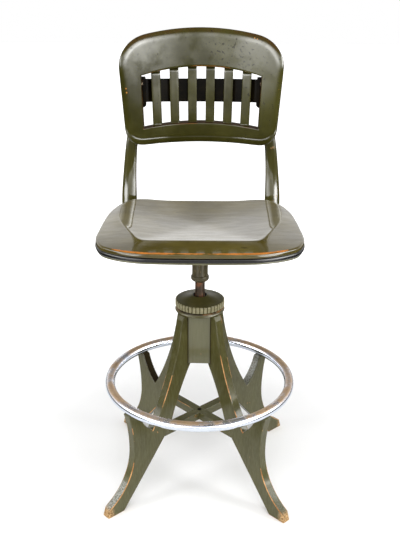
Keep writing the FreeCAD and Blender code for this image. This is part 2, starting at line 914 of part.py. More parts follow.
def slat_blank(index, width, top, bottom):
    """The straight-sided column that a slat is cut from, running on past the window."""
    x_top, x_bottom = slat_limits()[index]
    lean = (x_top - x_bottom) / (window_top - window_bottom)
    upper = x_top + lean * (top - window_top)
    lower = x_bottom + lean * (bottom - window_bottom)
    half = width / 2
    points = [
        Vec(lower - half, 0, bottom), Vec(lower + half, 0, bottom),
        Vec(upper + half, 0, top), Vec(upper - half, 0, top), Vec(lower - half, 0, bottom),
    ]
    return slab(polygon_edges(points), back_curve)


def slat_body(index, clearance=0.0):
    """A slat with the tongues at its ends that enter the frame."""
    top = window_top + 60
    bottom = window_bottom - 60
    front = slat_set_back
    rear = slat_set_back + slat_thickness
    blank = slat_blank(index, slat_width, top, bottom).common(back_shell(front, rear))
    seen = blank.common(window_cut())
    tongue_front = front + slat_tenon_shoulder - clearance
    tongue_rear = rear - slat_tenon_shoulder + clearance
    tongue_width = slat_width - 2 * slat_tenon_shoulder + 2 * clearance
    x_top, x_bottom = slat_limits()[index]
    window_high = window_top - (window_top - window_top_end) * (x_top / window_half_top) ** 2
    window_low = window_bottom - (window_bottom - window_bottom_end) * (x_bottom / window_half_bottom) ** 2
    tongue_top = window_high + slat_tenon + clearance
    tongue_bottom = window_low - slat_tenon + clearance
    tongue = slat_blank(index, tongue_width, tongue_top, tongue_bottom)
    tongue = tongue.common(back_shell(tongue_front, tongue_rear))
    if clearance:
        return tongue
    return seen.fuse(tongue).removeSplitter()


def back_frame():
    board = back_shell(0, back_thickness).common(board_along_y(back_outline()))
    rounded = []
    for edge in board.Edges:
        middle = edge.valueAt((edge.FirstParameter + edge.LastParameter) / 2)
        depth = math.hypot(middle.x, middle.y + back_curve) - back_curve
        if edge.Length > 1 and (depth < 0.01 or depth > back_thickness - 0.01):
            rounded.append(edge)
    board = board.makeFillet(back_round, rounded)
    board = board.cut(window_cut())
    for index in range(slat_count):
        board = board.cut(slat_body(index, glue_gap))
    for screw in bracket_screws(glue_gap):
        board = board.cut(screw)
    return leaned(board)


# Bar, brackets and pivots, drawn in the back's upright frame

def bar_front(x):
    return bar_stand_off - (back_curve - math.sqrt(back_curve ** 2 - x * x))


plate_front = bar_front(upright_top_reach)
upright_face = plate_front + bar_steel
pivot_depth = upright_face + upright_thickness / 2
upright_side = upright_pivot_reach + upright_width - pivot_flat_depth


def bar_outline():
    """The bar seen from the front: a band that widens to a round-cornered plate at each end."""
    low = bar_place - bar_height / 2
    high = bar_place + bar_height / 2
    reach = upright_top_reach + bar_plate_width
    deep = back_half_width
    band = box(-upright_top_reach - 1, upright_top_reach + 1, -deep, deep, low, high)
    plate = box(upright_top_reach, reach, -deep, deep, bar_plate_bottom, bar_plate_top)
    upright_edges = [e for e in plate.Edges if abs(e.tangentAt(0).y) > 0.9]
    plate = plate.makeFillet(bar_plate_round, upright_edges)
    return band, plate


def back_bar():
    band, plate = bar_outline()
    curved = band.common(back_shell(bar_stand_off, bar_stand_off + bar_steel))
    tall = back_half_width
    flat = plate.common(box(0, back_half_width, plate_front, upright_face, -tall, tall))
    bar = curved.fuse([flat, mirrored(flat)])
    for screw in bar_screws(glue_gap):
        bar = bar.cut(screw)
    return leaned(bar)


def pan_screw(head, shank, length, clearance=0.0):
    """A round-headed screw along +Y, with the underside of its head at the origin."""
    shank_solid = Part.makeCylinder(shank + clearance, length, Vec(0, 0, 0), Vec(0, 1, 0))
    head_solid = Part.makeCylinder(head, 0.45 * head, Vec(0, -0.45 * head, 0), Vec(0, 1, 0))
    rim = [e for e in head_solid.Edges if abs(e.CenterOfMass.y + 0.45 * head) < 0.01 and e.Length > head]
    head_solid = head_solid.makeFillet(0.3 * head, rim)
    return shank_solid.fuse(head_solid)


def bar_screws(clearance=0.0):
    x = upright_top_reach + upright_width / 2
    middle = (bar_plate_top + bar_plate_bottom) / 2
    screws = []
    for side in (-1, 1):
        for rise in (-bar_screw_rise, bar_screw_rise):
            screw = pan_screw(bar_screw_head, bar_screw_radius, bar_screw_length, clearance)
            screw.translate(Vec(side * x, plate_front, middle + rise))
            screws.append(screw)
    return screws


def pivot_screw(clearance=0.0):
    """A shoulder screw into the upright's outer side; the ear of the back turns on its shoulder."""
    ear_outer = upright_side + ear_gap + ear_thickness + slide_gap
    start = Vec(upright_side, pivot_depth, bar_place)
    along = Vec(1, 0, 0)
    shoulder = Part.makeCylinder(pivot_radius, ear_outer - upright_side, start, along)
    head_start = Vec(ear_outer, pivot_depth, bar_place)
    head = Part.makeCylinder(pivot_head, pivot_head_thickness, head_start, along)
    thread_start = Vec(upright_side - pivot_thread_length, pivot_depth, bar_place)
    thread = Part.makeCylinder(pivot_thread + clearance, pivot_thread_length, thread_start, along)
    if clearance:
        return thread
    return thread.fuse([shoulder, head]).removeSplitter()


def pivot_bracket():
    """An angle of steel on the back's rear face, with an ear that takes the pivot screw."""
    ear_inner = upright_side + ear_gap
    ear_outer = ear_inner + ear_thickness
    reach = ear_inner + bracket_width
    low = bar_place - bracket_half_height
    high = bar_place + bracket_half_height
    flange = box(ear_inner, reach, -back_half_width, back_half_width, low, high)
    flange = flange.common(back_shell(back_thickness, back_thickness + ear_thickness))
    ear_low = bar_place - ear_half_height
    ear_high = bar_place + ear_half_height
    ear = box(ear_inner, ear_outer, -back_half_width, pivot_depth, ear_low, ear_high)
    ear = ear.fuse(Part.makeCylinder(
        ear_half_height, ear_thickness, Vec(ear_inner, pivot_depth, bar_place), Vec(1, 0, 0)))
    ear = ear.cut(back_shell(-0.9 * back_half_width, back_thickness))
    bracket = flange.fuse(ear).removeSplitter()
    hole_start = Vec(ear_inner - 1, pivot_depth, bar_place)
    hole = Part.makeCylinder(pivot_radius + running_fit, ear_thickness + 2, hole_start, Vec(1, 0, 0))
    bracket = bracket.cut(hole)
    for screw in bracket_screws(glue_gap):
        bracket = bracket.cut(screw)
    return bracket


def bracket_screws(clearance=0.0):
    """Screws forward through both brackets into the back board, square to its curve."""
    x = upright_side + ear_gap + 0.6 * bracket_width
    turn = math.degrees(math.asin(x / (back_curve + back_thickness)))
    screws = []
    for side in (-1, 1):
        for rise in (-bracket_screw_rise, bracket_screw_rise):
            screw = pan_screw(bracket_screw_head, bracket_screw_radius, bracket_screw_length, clearance)
            screw.rotate(Vec(0, 0, 0), UP, 180)
            screw.translate(Vec(0, back_curve + back_thickness + ear_thickness, bar_place + rise))
            screw.rotate(Vec(0, 0, 0), UP, -side * turn)
            screw.translate(Vec(0, -back_curve, 0))
            screws.append(screw)
    return screws


# Uprights

def upright_side_profile():
    """The upright seen from the side: a foot under the seat, a bend, and a leaning post."""
    inner = upright_inner_bend
    foot_z = seat_plane(seat_rear + upright_stand_off - inner)
    foot_top_start = Vec(0, upright_foot_start, seat_plane(upright_foot_start))
    foot_top_end = Vec(0, seat_rear + upright_stand_off - inner, foot_z)
    front_y = seat_rear + upright_stand_off
    bend_end = Vec(0, front_y, foot_z + inner)
    bend_middle = Vec(0, front_y - inner * (1 - math.sqrt(0.5)), foot_z + inner * (1 - math.sqrt(0.5)))
    lean = math.radians(back_lean)
    top_front = leaned_point(upright_face, bar_plate_top)
    top_rear = leaned_point(upright_face + upright_thickness, bar_plate_top)
    run = top_front.y - bend_end.y
    rise = top_front.z - bend_end.z
    half_turn = math.tan(lean / 2)
    curve_rise = (run - rise * math.tan(lean)) / (half_turn - math.tan(lean))
    curve_end = Vec(0, bend_end.y + curve_rise * half_turn, bend_end.z + curve_rise)
    radius = curve_rise / math.sin(lean)
    curve_middle = Vec(
        0, bend_end.y + radius * (1 - math.cos(lean / 2)), bend_end.z + radius * math.sin(lean / 2))
    thick = upright_thickness
    rear_end = Vec(0, curve_end.y + thick * math.cos(lean), curve_end.z - thick * math.sin(lean))
    rear_bend = Vec(0, front_y + thick, foot_z + inner)
    outer = upright_outer_bend
    heel_z = foot_z - upright_foot_thickness
    heel_start = Vec(0, front_y + thick, heel_z + outer)
    heel_end = Vec(0, front_y + thick - outer, heel_z)
    heel_middle = Vec(
        0, front_y + thick - outer * (1 - math.sqrt(0.5)), heel_z + outer * (1 - math.sqrt(0.5)))
    foot_low_start = Vec(0, upright_foot_start, seat_plane(upright_foot_start) - upright_foot_thickness)
    rear_middle = Vec(0, curve_middle.y + thick, curve_middle.z)
    return [
        line(foot_top_start, foot_top_end),
        Part.Arc(foot_top_end, bend_middle, bend_end).toShape(),
        Part.Arc(bend_end, curve_middle, curve_end).toShape(),
        line(curve_end, top_front),
        line(top_front, top_rear),
        line(top_rear, rear_end),
        Part.Arc(rear_end, rear_middle, rear_bend).toShape(),
        line(rear_bend, heel_start),
        Part.Arc(heel_start, heel_middle, heel_end).toShape(),
        line(heel_end, foot_low_start),
        line(foot_low_start, foot_top_start),
    ]


def leaned_point(depth, rise):
    lean = math.radians(back_lean)
    y = back_place + depth * math.cos(lean) + rise * math.sin(lean)
    z = back_height - depth * math.sin(lean) + rise * math.cos(lean)
    return Vec(0, y, z)


def upright_front_profile():
    """The upright seen from the front, on the right: it leans in, and flares at the seat."""
    low = seat_plane(seat_rear) - 2 * upright_foot_thickness
    seat_z = seat_plane(seat_rear) + upright_straight_rise
    bend_z = seat_z + upright_flare_rise
    back_z = back_height + back_bottom
    bar_z = back_height + bar_plate_bottom
    pivot_z = leaned_point(pivot_depth, bar_place).z
    top_z = leaned_point(upright_face, bar_plate_top).z
    inner = [
        Vec(upright_seat_reach, 0, seat_z), Vec(upright_seat_reach, 0, bend_z),
        Vec(upright_back_reach, 0, back_z), Vec(upright_bar_reach, 0, bar_z),
        Vec(upright_pivot_reach, 0, pivot_z), Vec(upright_top_reach, 0, top_z + 2),
    ]
    width = Vec(upright_width, 0, 0)
    flare = Vec(upright_flare, 0, 0)
    outer = [inner[0] + width + flare, inner[1] + width + flare * 0.4] + [p + width for p in inner[2:]]
    inner_curve = Part.BSplineCurve()
    inner_curve.interpolate(Points=inner)
    outer_curve = Part.BSplineCurve()
    outer_curve.interpolate(Points=outer)
    inner_low = Vec(upright_seat_reach, 0, low)
    outer_low = Vec(upright_seat_reach + upright_width + upright_flare, 0, low)
    return [
        line(inner_low, inner[0]), inner_curve.toShape(), line(inner[-1], outer[-1]),
        outer_curve.toShape(), line(outer[0], outer_low), line(outer_low, inner_low),
    ]


def upright():
    side_face = Part.Face(Part.Wire(Part.__sortEdges__(upright_side_profile())))
    side = side_face.extrude(Vec(seat_half_width, 0, 0))
    front_face = Part.Face(Part.Wire(Part.__sortEdges__(upright_front_profile())))
    front = front_face.extrude(Vec(0, 2 * seat_rear, 0))
    piece = side.common(front)
    for screw in upright_screws(glue_gap):
        piece = piece.cut(sloped(screw))
    flat_low = bar_place - pivot_flat_half_height
    flat_high = bar_place + pivot_flat_half_height
    flat_front = pivot_depth - upright_thickness
    flat_rear = pivot_depth + upright_thickness
    flat = box(upright_side, upright_side + upright_width, flat_front, flat_rear, flat_low, flat_high)
    piece = piece.cut(leaned(flat))
    holes = [leaned(screw) for screw in bar_screws(glue_gap)] + [leaned(pivot_screw(glue_gap))]
    for hole in holes:
        piece = piece.cut(hole)
    return piece


def build():
    for corner in leg_angles:
        parts["leg_" + corner] = at_corner(leg_board(), corner)
    parts["stretcher_upper"] = turned(stretcher(True), leg_angles["rear_left"] + base_turn)
    parts["stretcher_lower"] = turned(stretcher(False), leg_angles["rear_right"] + base_turn)
    parts["stretcher_screw"] = lap_screw()
    parts["foot_ring"] = foot_ring()
    parts["foot_ring_screws"] = at_corners(ring_screw())
    parts["centre_post"] = post_block()
    parts["leg_dowels"] = group([
        at_corner(dowel(height), corner) for corner in leg_angles for height in dowel_heights()])
    parts["guide_tube"] = guide_tube()
    parts["guide_tube_screws"] = group([turned(screw, base_turn) for screw in tube_screws()])
    parts["top_plate"] = top_plate()
    parts["top_plate_screws"] = at_corners(plate_screw())
    parts["hand_wheel"] = hand_wheel()
    parts["wheel_clip"] = wheel_clip()
    parts["spindle"] = spindle()
    parts["spindle_foot"] = spindle_foot()
    parts["spindle_foot_pin"] = foot_pin()
    parts["thrust_washer"] = thrust_washer()
    parts["socket_tube"] = socket_tube()
    parts["socket_screw"] = swivel_screw()
    parts["seat_spider"] = seat_spider()
    parts["spider_screws"] = group([sloped(screw) for screw in spider_screws()])
    parts["seat_board"] = seat_board()
    parts["seat_edge_strip"] = edge_strip()
    parts["seat_lower_board"] = seat_lower_board()
    right = upright()
    parts["upright_right"] = right
    parts["upright_left"] = mirrored(right)
    parts["upright_screws"] = group([sloped(screw) for screw in upright_screws()])
    parts["back_bar"] = back_bar()
    parts["back_bar_screws"] = group([leaned(screw) for screw in bar_screws()])
    parts["back_frame"] = back_frame()
    for index in range(slat_count):
        parts["back_slat_%d" % (index + 1)] = leaned(slat_body(index))
    bracket = pivot_bracket()
    parts["pivot_bracket_right"] = leaned(bracket)
    parts["pivot_bracket_left"] = leaned(mirrored(bracket))
    parts["pivot_bracket_screws"] = group([leaned(screw) for screw in bracket_screws()])
    pivot = pivot_screw()
    parts["pivot_screws"] = group([leaned(pivot), leaned(mirrored(pivot))])


build()
os.makedirs("parts", exist_ok=True)
for name, shape in parts.items():
    shape.exportStep("parts/" + name + ".step")
    box_size = shape.BoundBox
    print("%-24s solids %2d valid %s volume %10.1f  x %7.1f %7.1f y %7.1f %7.1f z %7.1f %7.1f" % (
        name, len(shape.Solids), shape.isValid(), shape.Volume,
        box_size.XMin, box_size.XMax, box_size.YMin, box_size.YMax, box_size.ZMin, box_size.ZMax))
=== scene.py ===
import bmesh
import bpy
import math
import numpy as np
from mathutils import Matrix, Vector


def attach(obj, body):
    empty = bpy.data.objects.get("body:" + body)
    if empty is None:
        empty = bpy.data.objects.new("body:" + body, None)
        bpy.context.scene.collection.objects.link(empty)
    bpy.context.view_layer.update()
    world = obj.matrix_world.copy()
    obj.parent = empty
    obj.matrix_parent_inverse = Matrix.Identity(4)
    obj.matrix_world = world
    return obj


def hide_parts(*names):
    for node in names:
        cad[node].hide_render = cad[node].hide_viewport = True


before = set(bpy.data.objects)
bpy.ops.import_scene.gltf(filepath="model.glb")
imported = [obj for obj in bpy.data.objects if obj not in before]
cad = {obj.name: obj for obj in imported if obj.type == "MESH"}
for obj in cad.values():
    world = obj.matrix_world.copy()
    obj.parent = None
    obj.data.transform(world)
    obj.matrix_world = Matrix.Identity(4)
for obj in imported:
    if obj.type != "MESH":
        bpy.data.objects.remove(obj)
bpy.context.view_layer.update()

# Legs
# Four boards of hardwood, each sawn to a Y with a main bar up to the post and a short arm under the
# foot ring. The arrises are eased by hand and brushed with olive enamel, which has worn off along the
# corners and at the tips of the feet.

base_turn = -1.6
leg_angles = {"rear_right": 45, "rear_left": 135, "front_left": 225, "front_right": 315}
leg_thickness = 21.0
leg_arris = 2.2
arm_bulge = 5.5
bar_bulge = 14.0
arch_bulge = 5.0
heel = (243.5, 0.0)
toe = (289.0, 0.0)
toe_top = (282.0, 22.0)
waist = (208.5, 146.0)
arm_out = (222.1, 240.4)
arm_in = (197.1, 240.4)
crotch = (154.0, 175.5)
bar_top = (63.0, 422.0)
bevel_top = (56.0, 432.0)
inner_top = (36.0, 432.0)
inner_low = (36.0, 311.0)
shoulder_top = (101.0, 165.0)
shoulder_low = (119.0, 145.0)


def arc(start, end, bulge, count=20):
    """Points from start to end on an arc that stands off to the left of its chord by the bulge."""
    start, end = np.array(start, float), np.array(end, float)
    chord = end - start
    length = np.linalg.norm(chord)
    along = chord / length
    left = np.array([-along[1], along[0]])
    half = 2 * math.atan(2 * bulge / length)
    radius = length / (2 * math.sin(half))
    turn = half * np.linspace(-1, 1, count + 1)[:, None]
    rise = radius * np.cos(turn) - (radius - bulge)
    return (start + end) / 2 + along * radius * np.sin(turn) + left * rise


def arc_to_waist(point):
    """The bulge of the arc that leaves the waist upright and ends at this point."""
    dx, dz = point[0] - waist[0], abs(point[1] - waist[1])
    radius = (dx * dx + dz * dz) / (2 * dx)
    return radius * (1 - math.cos(math.atan2(dz, radius - dx) / 2))


def joined(*runs):
    """One outline from several runs of points, each shared corner kept once."""
    points = [tuple(p) for run in runs for p in run]
    return [p for p, q in zip(points, points[1:] + points[:1]) if math.dist(p, q) > 1e-6]


leg_outline = joined(
    [heel, toe], arc(toe_top, waist, arc_to_waist(toe_top)), arc(waist, arm_out, arc_to_waist(arm_out)),
    arc(arm_in, crotch, arm_bulge), arc(crotch, bar_top, bar_bulge), [bevel_top, inner_top],
    arc(inner_low, shoulder_top, arch_bulge), [shoulder_low])


def board(outline, thickness, arris):
    """A sawn board in the XZ plane with eased arrises: points, faces and how far each point is worn."""
    made = bmesh.new()
    front = [made.verts.new((x, -thickness / 2, z)) for x, z in outline]
    back = [made.verts.new((x, thickness / 2, z)) for x, z in outline]
    made.faces.new(front)
    made.faces.new(back[::-1])
    for i in range(len(outline)):
        j = (i + 1) % len(outline)
        made.faces.new((front[j], front[i], back[i], back[j]))
    made.normal_update()
    sharp = [e for e in made.edges if e.calc_face_angle(0) > math.radians(25)]
    bmesh.ops.bevel(made, geom=sharp, offset=arris, offset_type="OFFSET", segments=4, profile=0.5,
                    affect="EDGES", clamp_overlap=True)
    made.verts.index_update()
    points = np.array([v.co[:] for v in made.verts])
    faces = [[v.index for v in f.verts] for f in made.faces]
    made.free()
    inside = thickness / 2 - np.abs(points[:, 1])
    worn = np.clip(1 - np.abs(2 * inside / arris - 1), 0, 1)
    return points, faces, worn


def turned(a, b, degrees):
    """Two coordinates turned from the first towards the second."""
    c, s = math.cos(math.radians(degrees)), math.sin(math.radians(degrees))
    return a * c - b * s, a * s + b * c


def around(points, degrees):
    """The points turned about the stool's axis."""
    x, y, z = points.T
    return np.stack([*turned(x, y, degrees), z], 1)


def placed(name, data):
    """A new object in the scene."""
    made = bpy.data.objects.new(name, data)
    bpy.context.scene.collection.objects.link(made)
    return made


def piece(name, points, faces, body, replaced, finish, worn=0.0, place=None, flat_faces=False):
    """A mesh in millimetres made into a piece of the stool that rides on a body."""
    mesh = bpy.data.meshes.new(name)
    mesh.from_pydata((np.asarray(points) * 0.001).tolist(), [], faces)
    mesh.validate()
    mesh.polygons.foreach_set("use_smooth", [True] * len(mesh.polygons))
    worn = np.full(len(points), worn, np.float32)
    mesh.attributes.new("worn", "FLOAT", "POINT").data.foreach_set("value", worn)
    if place is not None:
        flat = (np.asarray(place, np.float32) * 0.001).ravel()
        mesh.attributes.new("place", "FLOAT_VECTOR", "POINT").data.foreach_set("vector", flat)
    mesh.materials.append(finish)
    made = placed(name, mesh)
    if flat_faces:
        made.modifiers.new("flat_faces", "WEIGHTED_NORMAL").weight = 100
    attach(made, body)
    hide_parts(*replaced)


class Tap:
    """One output socket of a node tree, so that shader maths reads as sums and products."""

    def __init__(self, finish, socket):
        self.finish = finish
        self.socket = socket

    def maths(self, operation, *values):
        return self.finish.node("Math", {"operation": operation}, dict(enumerate(values)))

    def __add__(self, other):
        return self.maths("ADD", self, other)

    def __sub__(self, other):
        return self.maths("SUBTRACT", self, other)

    def __rsub__(self, other):
        return self.maths("SUBTRACT", other, self)

    def __mul__(self, other):
        return self.maths("MULTIPLY", self, other)

    def __neg__(self):
        return self * -1.0

    def __abs__(self):
        return self.maths("ABSOLUTE", self)

    __radd__ = __add__
    __rmul__ = __mul__

    def axis(self, index):
        """One coordinate of a place: 0 across, 1 from front to rear, 2 up."""
        return self.finish.node("SeparateXYZ", None, {0: self}, index)


class Finish:
    """A material, or the studio's surroundings, and the one call that adds a node to it."""

    def __init__(self, name, owner=None, shader="Principled BSDF"):
        self.owner = owner or bpy.data.materials.new(name)
        self.owner.use_nodes = True
        self.tree = self.owner.node_tree
        self.shader = self.tree.nodes[shader]

    def node(self, kind, settings=None, inputs=None, out=0):
        made = self.tree.nodes.new("ShaderNode" + kind)
        for key, value in (settings or {}).items():
            if key == "stops":
                ramp = made.color_ramp
                while len(ramp.elements) < len(value):
                    ramp.elements.new(0.5)
                for element, (place, colour) in zip(ramp.elements, value):
                    element.position = place
                    element.color = colour
            else:
                setattr(made, key, value)
        for key, value in (inputs or {}).items():
            self.give(made.inputs[key], value)
        return Tap(self, made.outputs[out])

    def give(self, socket, value):
        if isinstance(value, Tap):
            self.tree.links.new(value.socket, socket)
        else:
            socket.default_value = value

    def feed(self, **values):
        """Sets or links the shader's own sockets; an underscore stands for a space."""
        for key, value in values.items():
            self.give(self.shader.inputs[key.replace("_", " ")], value)
        return self.owner

    def place(self):
        """Where a point of the piece is, in metres in its own frame."""
        return self.node("TexCoord", None, None, "Object")

    def worn(self):
        """How worn a point is, as the piece's mesh says."""
        return self.node("Attribute", {"attribute_name": "worn"}, None, 2)

    def ray_is(self, kind):
        """1 for the rays of this kind, such as those of the camera."""
        return self.node("LightPath", None, None, "Is " + kind + " Ray")


def between(low, high, value, first=0.0, last=1.0):
    """The first number below low, the last above high, smooth in between."""
    limits = {"Value": value, "From Min": low, "From Max": high, "To Min": first, "To Max": last}
    return value.finish.node("MapRange", {"interpolation_type": "SMOOTHSTEP"}, limits)


def larger(first, second):
    """The greater of two values, of which the first is a tap."""
    return first.maths("MAXIMUM", first, second)


def blended(share, first, second):
    """A colour that goes from the first to the second as the share goes from 0 to 1."""
    finish = share.finish if isinstance(share, Tap) else first.finish
    return finish.node("Mix", {"data_type": "RGBA"}, {0: share, 6: first, 7: second}, 2)


def speckle(scale, where, detail=3.0, roughness=0.55, stretch=None):
    """Noise about 0.5 at this many waves a metre, drawn out along an axis by the stretch."""
    node = where.finish.node
    if stretch is not None:
        where = node("Mapping", None, {"Vector": where, "Scale": stretch})
    return node("TexNoise", None, {"Vector": where, "Scale": scale, "Detail": detail, "Roughness": roughness})


def bumped(strength, distance, height, soft=None):
    """The surface raised by the height, over edges that are already softened if that is given."""
    inputs = {"Strength": strength, "Distance": distance, "Height": height}
    if soft is not None:
        inputs["Normal"] = soft
    return height.finish.node("Bump", None, inputs)


def rgb(red, green, blue):
    """A colour as it looks on a screen, 0 to 255, in the shader's own linear values."""
    shares = [((c / 255 + 0.055) / 1.055) ** 2.4 if c > 10 else c / 3295 for c in (red, green, blue)]
    return (*shares, 1)


olive = rgb(76, 73, 38)
olive_dark = rgb(56, 53, 20)
olive_pale = rgb(106, 104, 76)
bare_wood = rgb(214, 160, 102)
dark_wood = rgb(150, 94, 44)


def worn_enamel(where, wear, low=0.45, high=0.6, chips=0.0, tone=0.5):
    """Base colour and bareness of olive enamel: streaked paint, worn to wood where wear is near 1."""
    streaks = speckle(14.0, where, 5.0, 0.6, (6.0, 6.0, 1.0))
    cloud = speckle(5.0, where, 2.0)
    paint = blended(between(0.3, 0.75, cloud * 0.6 + streaks * 0.4), olive_dark, olive)
    paint = blended(tone, paint, olive_pale)
    broken = speckle(45.0, where, 6.0, 0.7)
    bare = between(low, high, wear * broken * 1.6)
    if chips:
        cells = {"Vector": where, "Scale": 130.0}
        dots = where.finish.node("TexVoronoi", {"feature": "DISTANCE_TO_EDGE"}, cells)
        rare = between(0.70, 0.74, speckle(38.0, where, 2.0))
        bare = larger(bare, rare * between(0.05, 0.12, dots) * chips)
    wood = blended(between(0.3, 0.65, broken), dark_wood, bare_wood)
    return blended(bare, paint, wood), bare


def leg_enamel():
    """Worn is 1 on the arrises, about -0.5 on the tops of the toes, grey with scuffs, -1 in forks painted
    dark as shade, and -0.3 in forks painted grey as sheen.
    """
    finish = Finish("leg_enamel")
    place = finish.node("Attribute", {"attribute_name": "place"}, None, 1)
    worn = finish.worn()
    height = place.axis(2)
    reach = place.axis(0)
    patchy = speckle(9.0, place, 3.0)
    grain = speckle(110.0, place, 4.0, 0.65, (3.0, 3.0, 0.5))
    scuffs = speckle(300.0, place, 4.0, 0.7)
    ragged_reach = reach + patchy * 0.016 + scuffs * 0.008
    tip = between(0.281, 0.297, ragged_reach) * between(0.028, 0.014, height)
    low_down = between(0.15, 0.08, height) * between(0.20, 0.215, reach)
    edge = between(0.0, 0.5, worn)
    wear = edge * (between(0.46, 0.62, patchy) * 0.85 + low_down * 0.9)
    dusty = between(0.34, 0.10, height) * 0.2 + between(0.40, 0.66, grain) * 0.22
    colour, bare = worn_enamel(place, wear, low=0.30, high=0.42, chips=0.5, tone=dusty)
    # Real scuffs on the toe tops, and a painted sheen: the same grey is put on the forks of every leg but the
    # rear left.
    scuffs_and_fork_sheen = between(0.05, 0.5, -worn) * between(0.9, 0.6, -worn)
    grey = blended(between(0.4, 0.6, scuffs), rgb(104, 102, 88), rgb(172, 174, 168))
    colour = blended(scuffs_and_fork_sheen * (1.0 - bare), colour, grey)
    end_grain = blended(between(0.38, 0.6, scuffs), rgb(120, 88, 52), rgb(208, 174, 128))
    colour = blended(tip, colour, end_grain)
    # Painted shade: where worn is near -1, in the rear left leg's forks, the paint is darkened to near black.
    fork_shade = between(0.6, 0.95, -worn)
    # Painted shade: a narrow band of each leg where leg and post meet is darkened as a crevice in shadow.
    joint_shade = between(0.0505, 0.0475, reach) * between(0.300, 0.315, height)
    colour = blended(larger(fork_shade, joint_shade * 0.8), colour, rgb(38, 30, 12))
    toe_dull = between(0.02, 0.12, -worn) * between(0.14, 0.10, height)
    top_dull = between(0.385, 0.400, height) * 0.35
    gloss = 0.42 + grain * 0.45 - bare * 0.4 - tip * 0.6 - fork_shade * 0.9 - scuffs_and_fork_sheen * 0.3
    gloss = gloss - toe_dull * 0.35 - top_dull
    bump = bumped(0.16, 0.0006, grain - bare * 0.6)
    return finish.feed(Base_Color=colour, Roughness=0.5 + grain * 0.16 + bare * 0.2, Normal=bump,
                       Specular_IOR_Level=0.04, Coat_Weight=gloss, Coat_Roughness=0.14)


leg_finish = leg_enamel()
leg_points, leg_faces, leg_worn = board(leg_outline, leg_thickness, leg_arris)
leg_out, leg_off, leg_up = leg_points.T
edge_faces = leg_thickness / 2 - np.abs(leg_off) > leg_arris - 0.01
fork_limit = np.interp(leg_up, [175, 240], [165, 200])
in_fork = edge_faces & (leg_up > crotch[1] - 1) & (leg_out > crotch[0] - 1) & (leg_out < fork_limit)
on_toe = edge_faces & (leg_out > waist[0]) & (leg_up < waist[1]) & (leg_out > heel[0] - leg_up * 0.2)
leg_worn[in_fork] = -1.0
leg_worn[on_toe] = -0.5 * np.clip((110 - leg_up[on_toe]) / 60, 0, 1)
for corner, angle in leg_angles.items():
    own_place = leg_points + np.array([0.0, angle * 3.0, 0.0])
    own_worn = leg_worn.copy()
    # Only the rear left leg's forks keep worn at -1 and are painted dark as shade; the other forks drop to
    # -0.3, where the scuff grey paints a sheen on them.
    own_worn[in_fork] *= 1.0 if corner == "rear_left" else 0.3
    own_worn[on_toe] *= 1.0 if corner == "front_left" else 0.4
    piece("leg_board_" + corner, around(leg_points, angle + base_turn), leg_faces, "base",
          ["leg_" + corner], leg_finish, own_worn, own_place, True)

# Stretchers
# Two flat bars of the same wood that cross under the post and are tenoned into the legs. They are
# halved into each other, screwed once through the middle, and dull on top from shoes and dust.

stretcher_width = 21.0
stretcher_arris = 1.2
lap_half = 10.6
lap_height = 155.0
top_end, stretcher_top = shoulder_top
low_end, stretcher_low = shoulder_low
upper_outline = [
    (-low_end, stretcher_low), (-lap_half, stretcher_low), (-lap_half, lap_height), (lap_half, lap_height),
    (lap_half, stretcher_low), (low_end, stretcher_low), (top_end, stretcher_top), (-top_end, stretcher_top)]
lower_outline = [
    (-low_end, stretcher_low), (low_end, stretcher_low), (top_end, stretcher_top), (lap_half, stretcher_top),
    (lap_half, lap_height), (-lap_half, lap_height), (-lap_half, stretcher_top), (-top_end, stretcher_top)]
for name, outline, angle in (("stretcher_upper", upper_outline, 135), ("stretcher_lower", lower_outline, 45)):
    points, faces, worn = board(outline, stretcher_width, stretcher_arris)
    lying = np.stack([points[:, 2] - 400, points[:, 1], points[:, 0]], 1)
    piece(name + "_bar", around(points, angle + base_turn), faces, "base", [name], leg_finish,
          worn * 0.8, lying, True)

# Post, guide tube and fastenings of the base
# The post is a block housed for the four legs. The iron guide tube, the dowels and the screws keep
# their plain turned shapes, with every edge softened a little in the finish.


def metal(name, colour, dark, roughness, metallic=1.0, scale=60.0, edge=0.0007, coat=0.0, shine=0.5):
    """Iron or steel with a mottled surface and softened edges."""
    finish = Finish(name)
    where = finish.place()
    mottle = speckle(scale, where, 5.0, 0.65)
    fine = speckle(scale * 9, where, 3.0)
    soft = finish.node("Bevel", {"samples": 4}, {"Radius": edge})
    bump = bumped(0.15, 0.0004, fine, soft)
    return finish.feed(Base_Color=blended(between(0.35, 0.7, mottle), dark, colour),
                       Roughness=roughness + mottle * 0.2, Metallic=metallic, Normal=bump,
                       Specular_IOR_Level=shine, Coat_Weight=coat, Coat_Roughness=0.15)


def dress(finish, *names):
    """Gives CAD nodes a finish."""
    for name in names:
        cad[name].data.materials.clear()
        cad[name].data.materials.append(finish)


def block_enamel():
    finish = Finish("block_enamel")
    where = finish.place()
    grain = speckle(60.0, where, 4.0, 0.6, (5.0, 5.0, 0.35))
    colour, bare = worn_enamel(where, 0.0, chips=0.3, tone=0.5 + grain * 0.6)
    soft = finish.node("Bevel", {"samples": 6}, {"Radius": 0.0025})
    bump = bumped(0.10, 0.0006, grain, soft)
    return finish.feed(Base_Color=colour, Roughness=0.5 + grain * 0.16, Normal=bump, Specular_IOR_Level=0.04,
                       Coat_Weight=0.9, Coat_Roughness=0.12)


painted_iron = metal("painted_iron", olive, olive_dark, 0.25, metallic=0.0, scale=40.0, coat=0.5)
old_steel = metal("old_steel", rgb(120, 108, 92), rgb(70, 56, 42), 0.35)
dress(block_enamel(), "centre_post")
dress(painted_iron, "guide_tube", "spindle_foot")
dress(old_steel, "stretcher_screw", "foot_ring_screws", "guide_tube_screws", "top_plate_screws",
      "wheel_clip", "spindle_foot_pin")


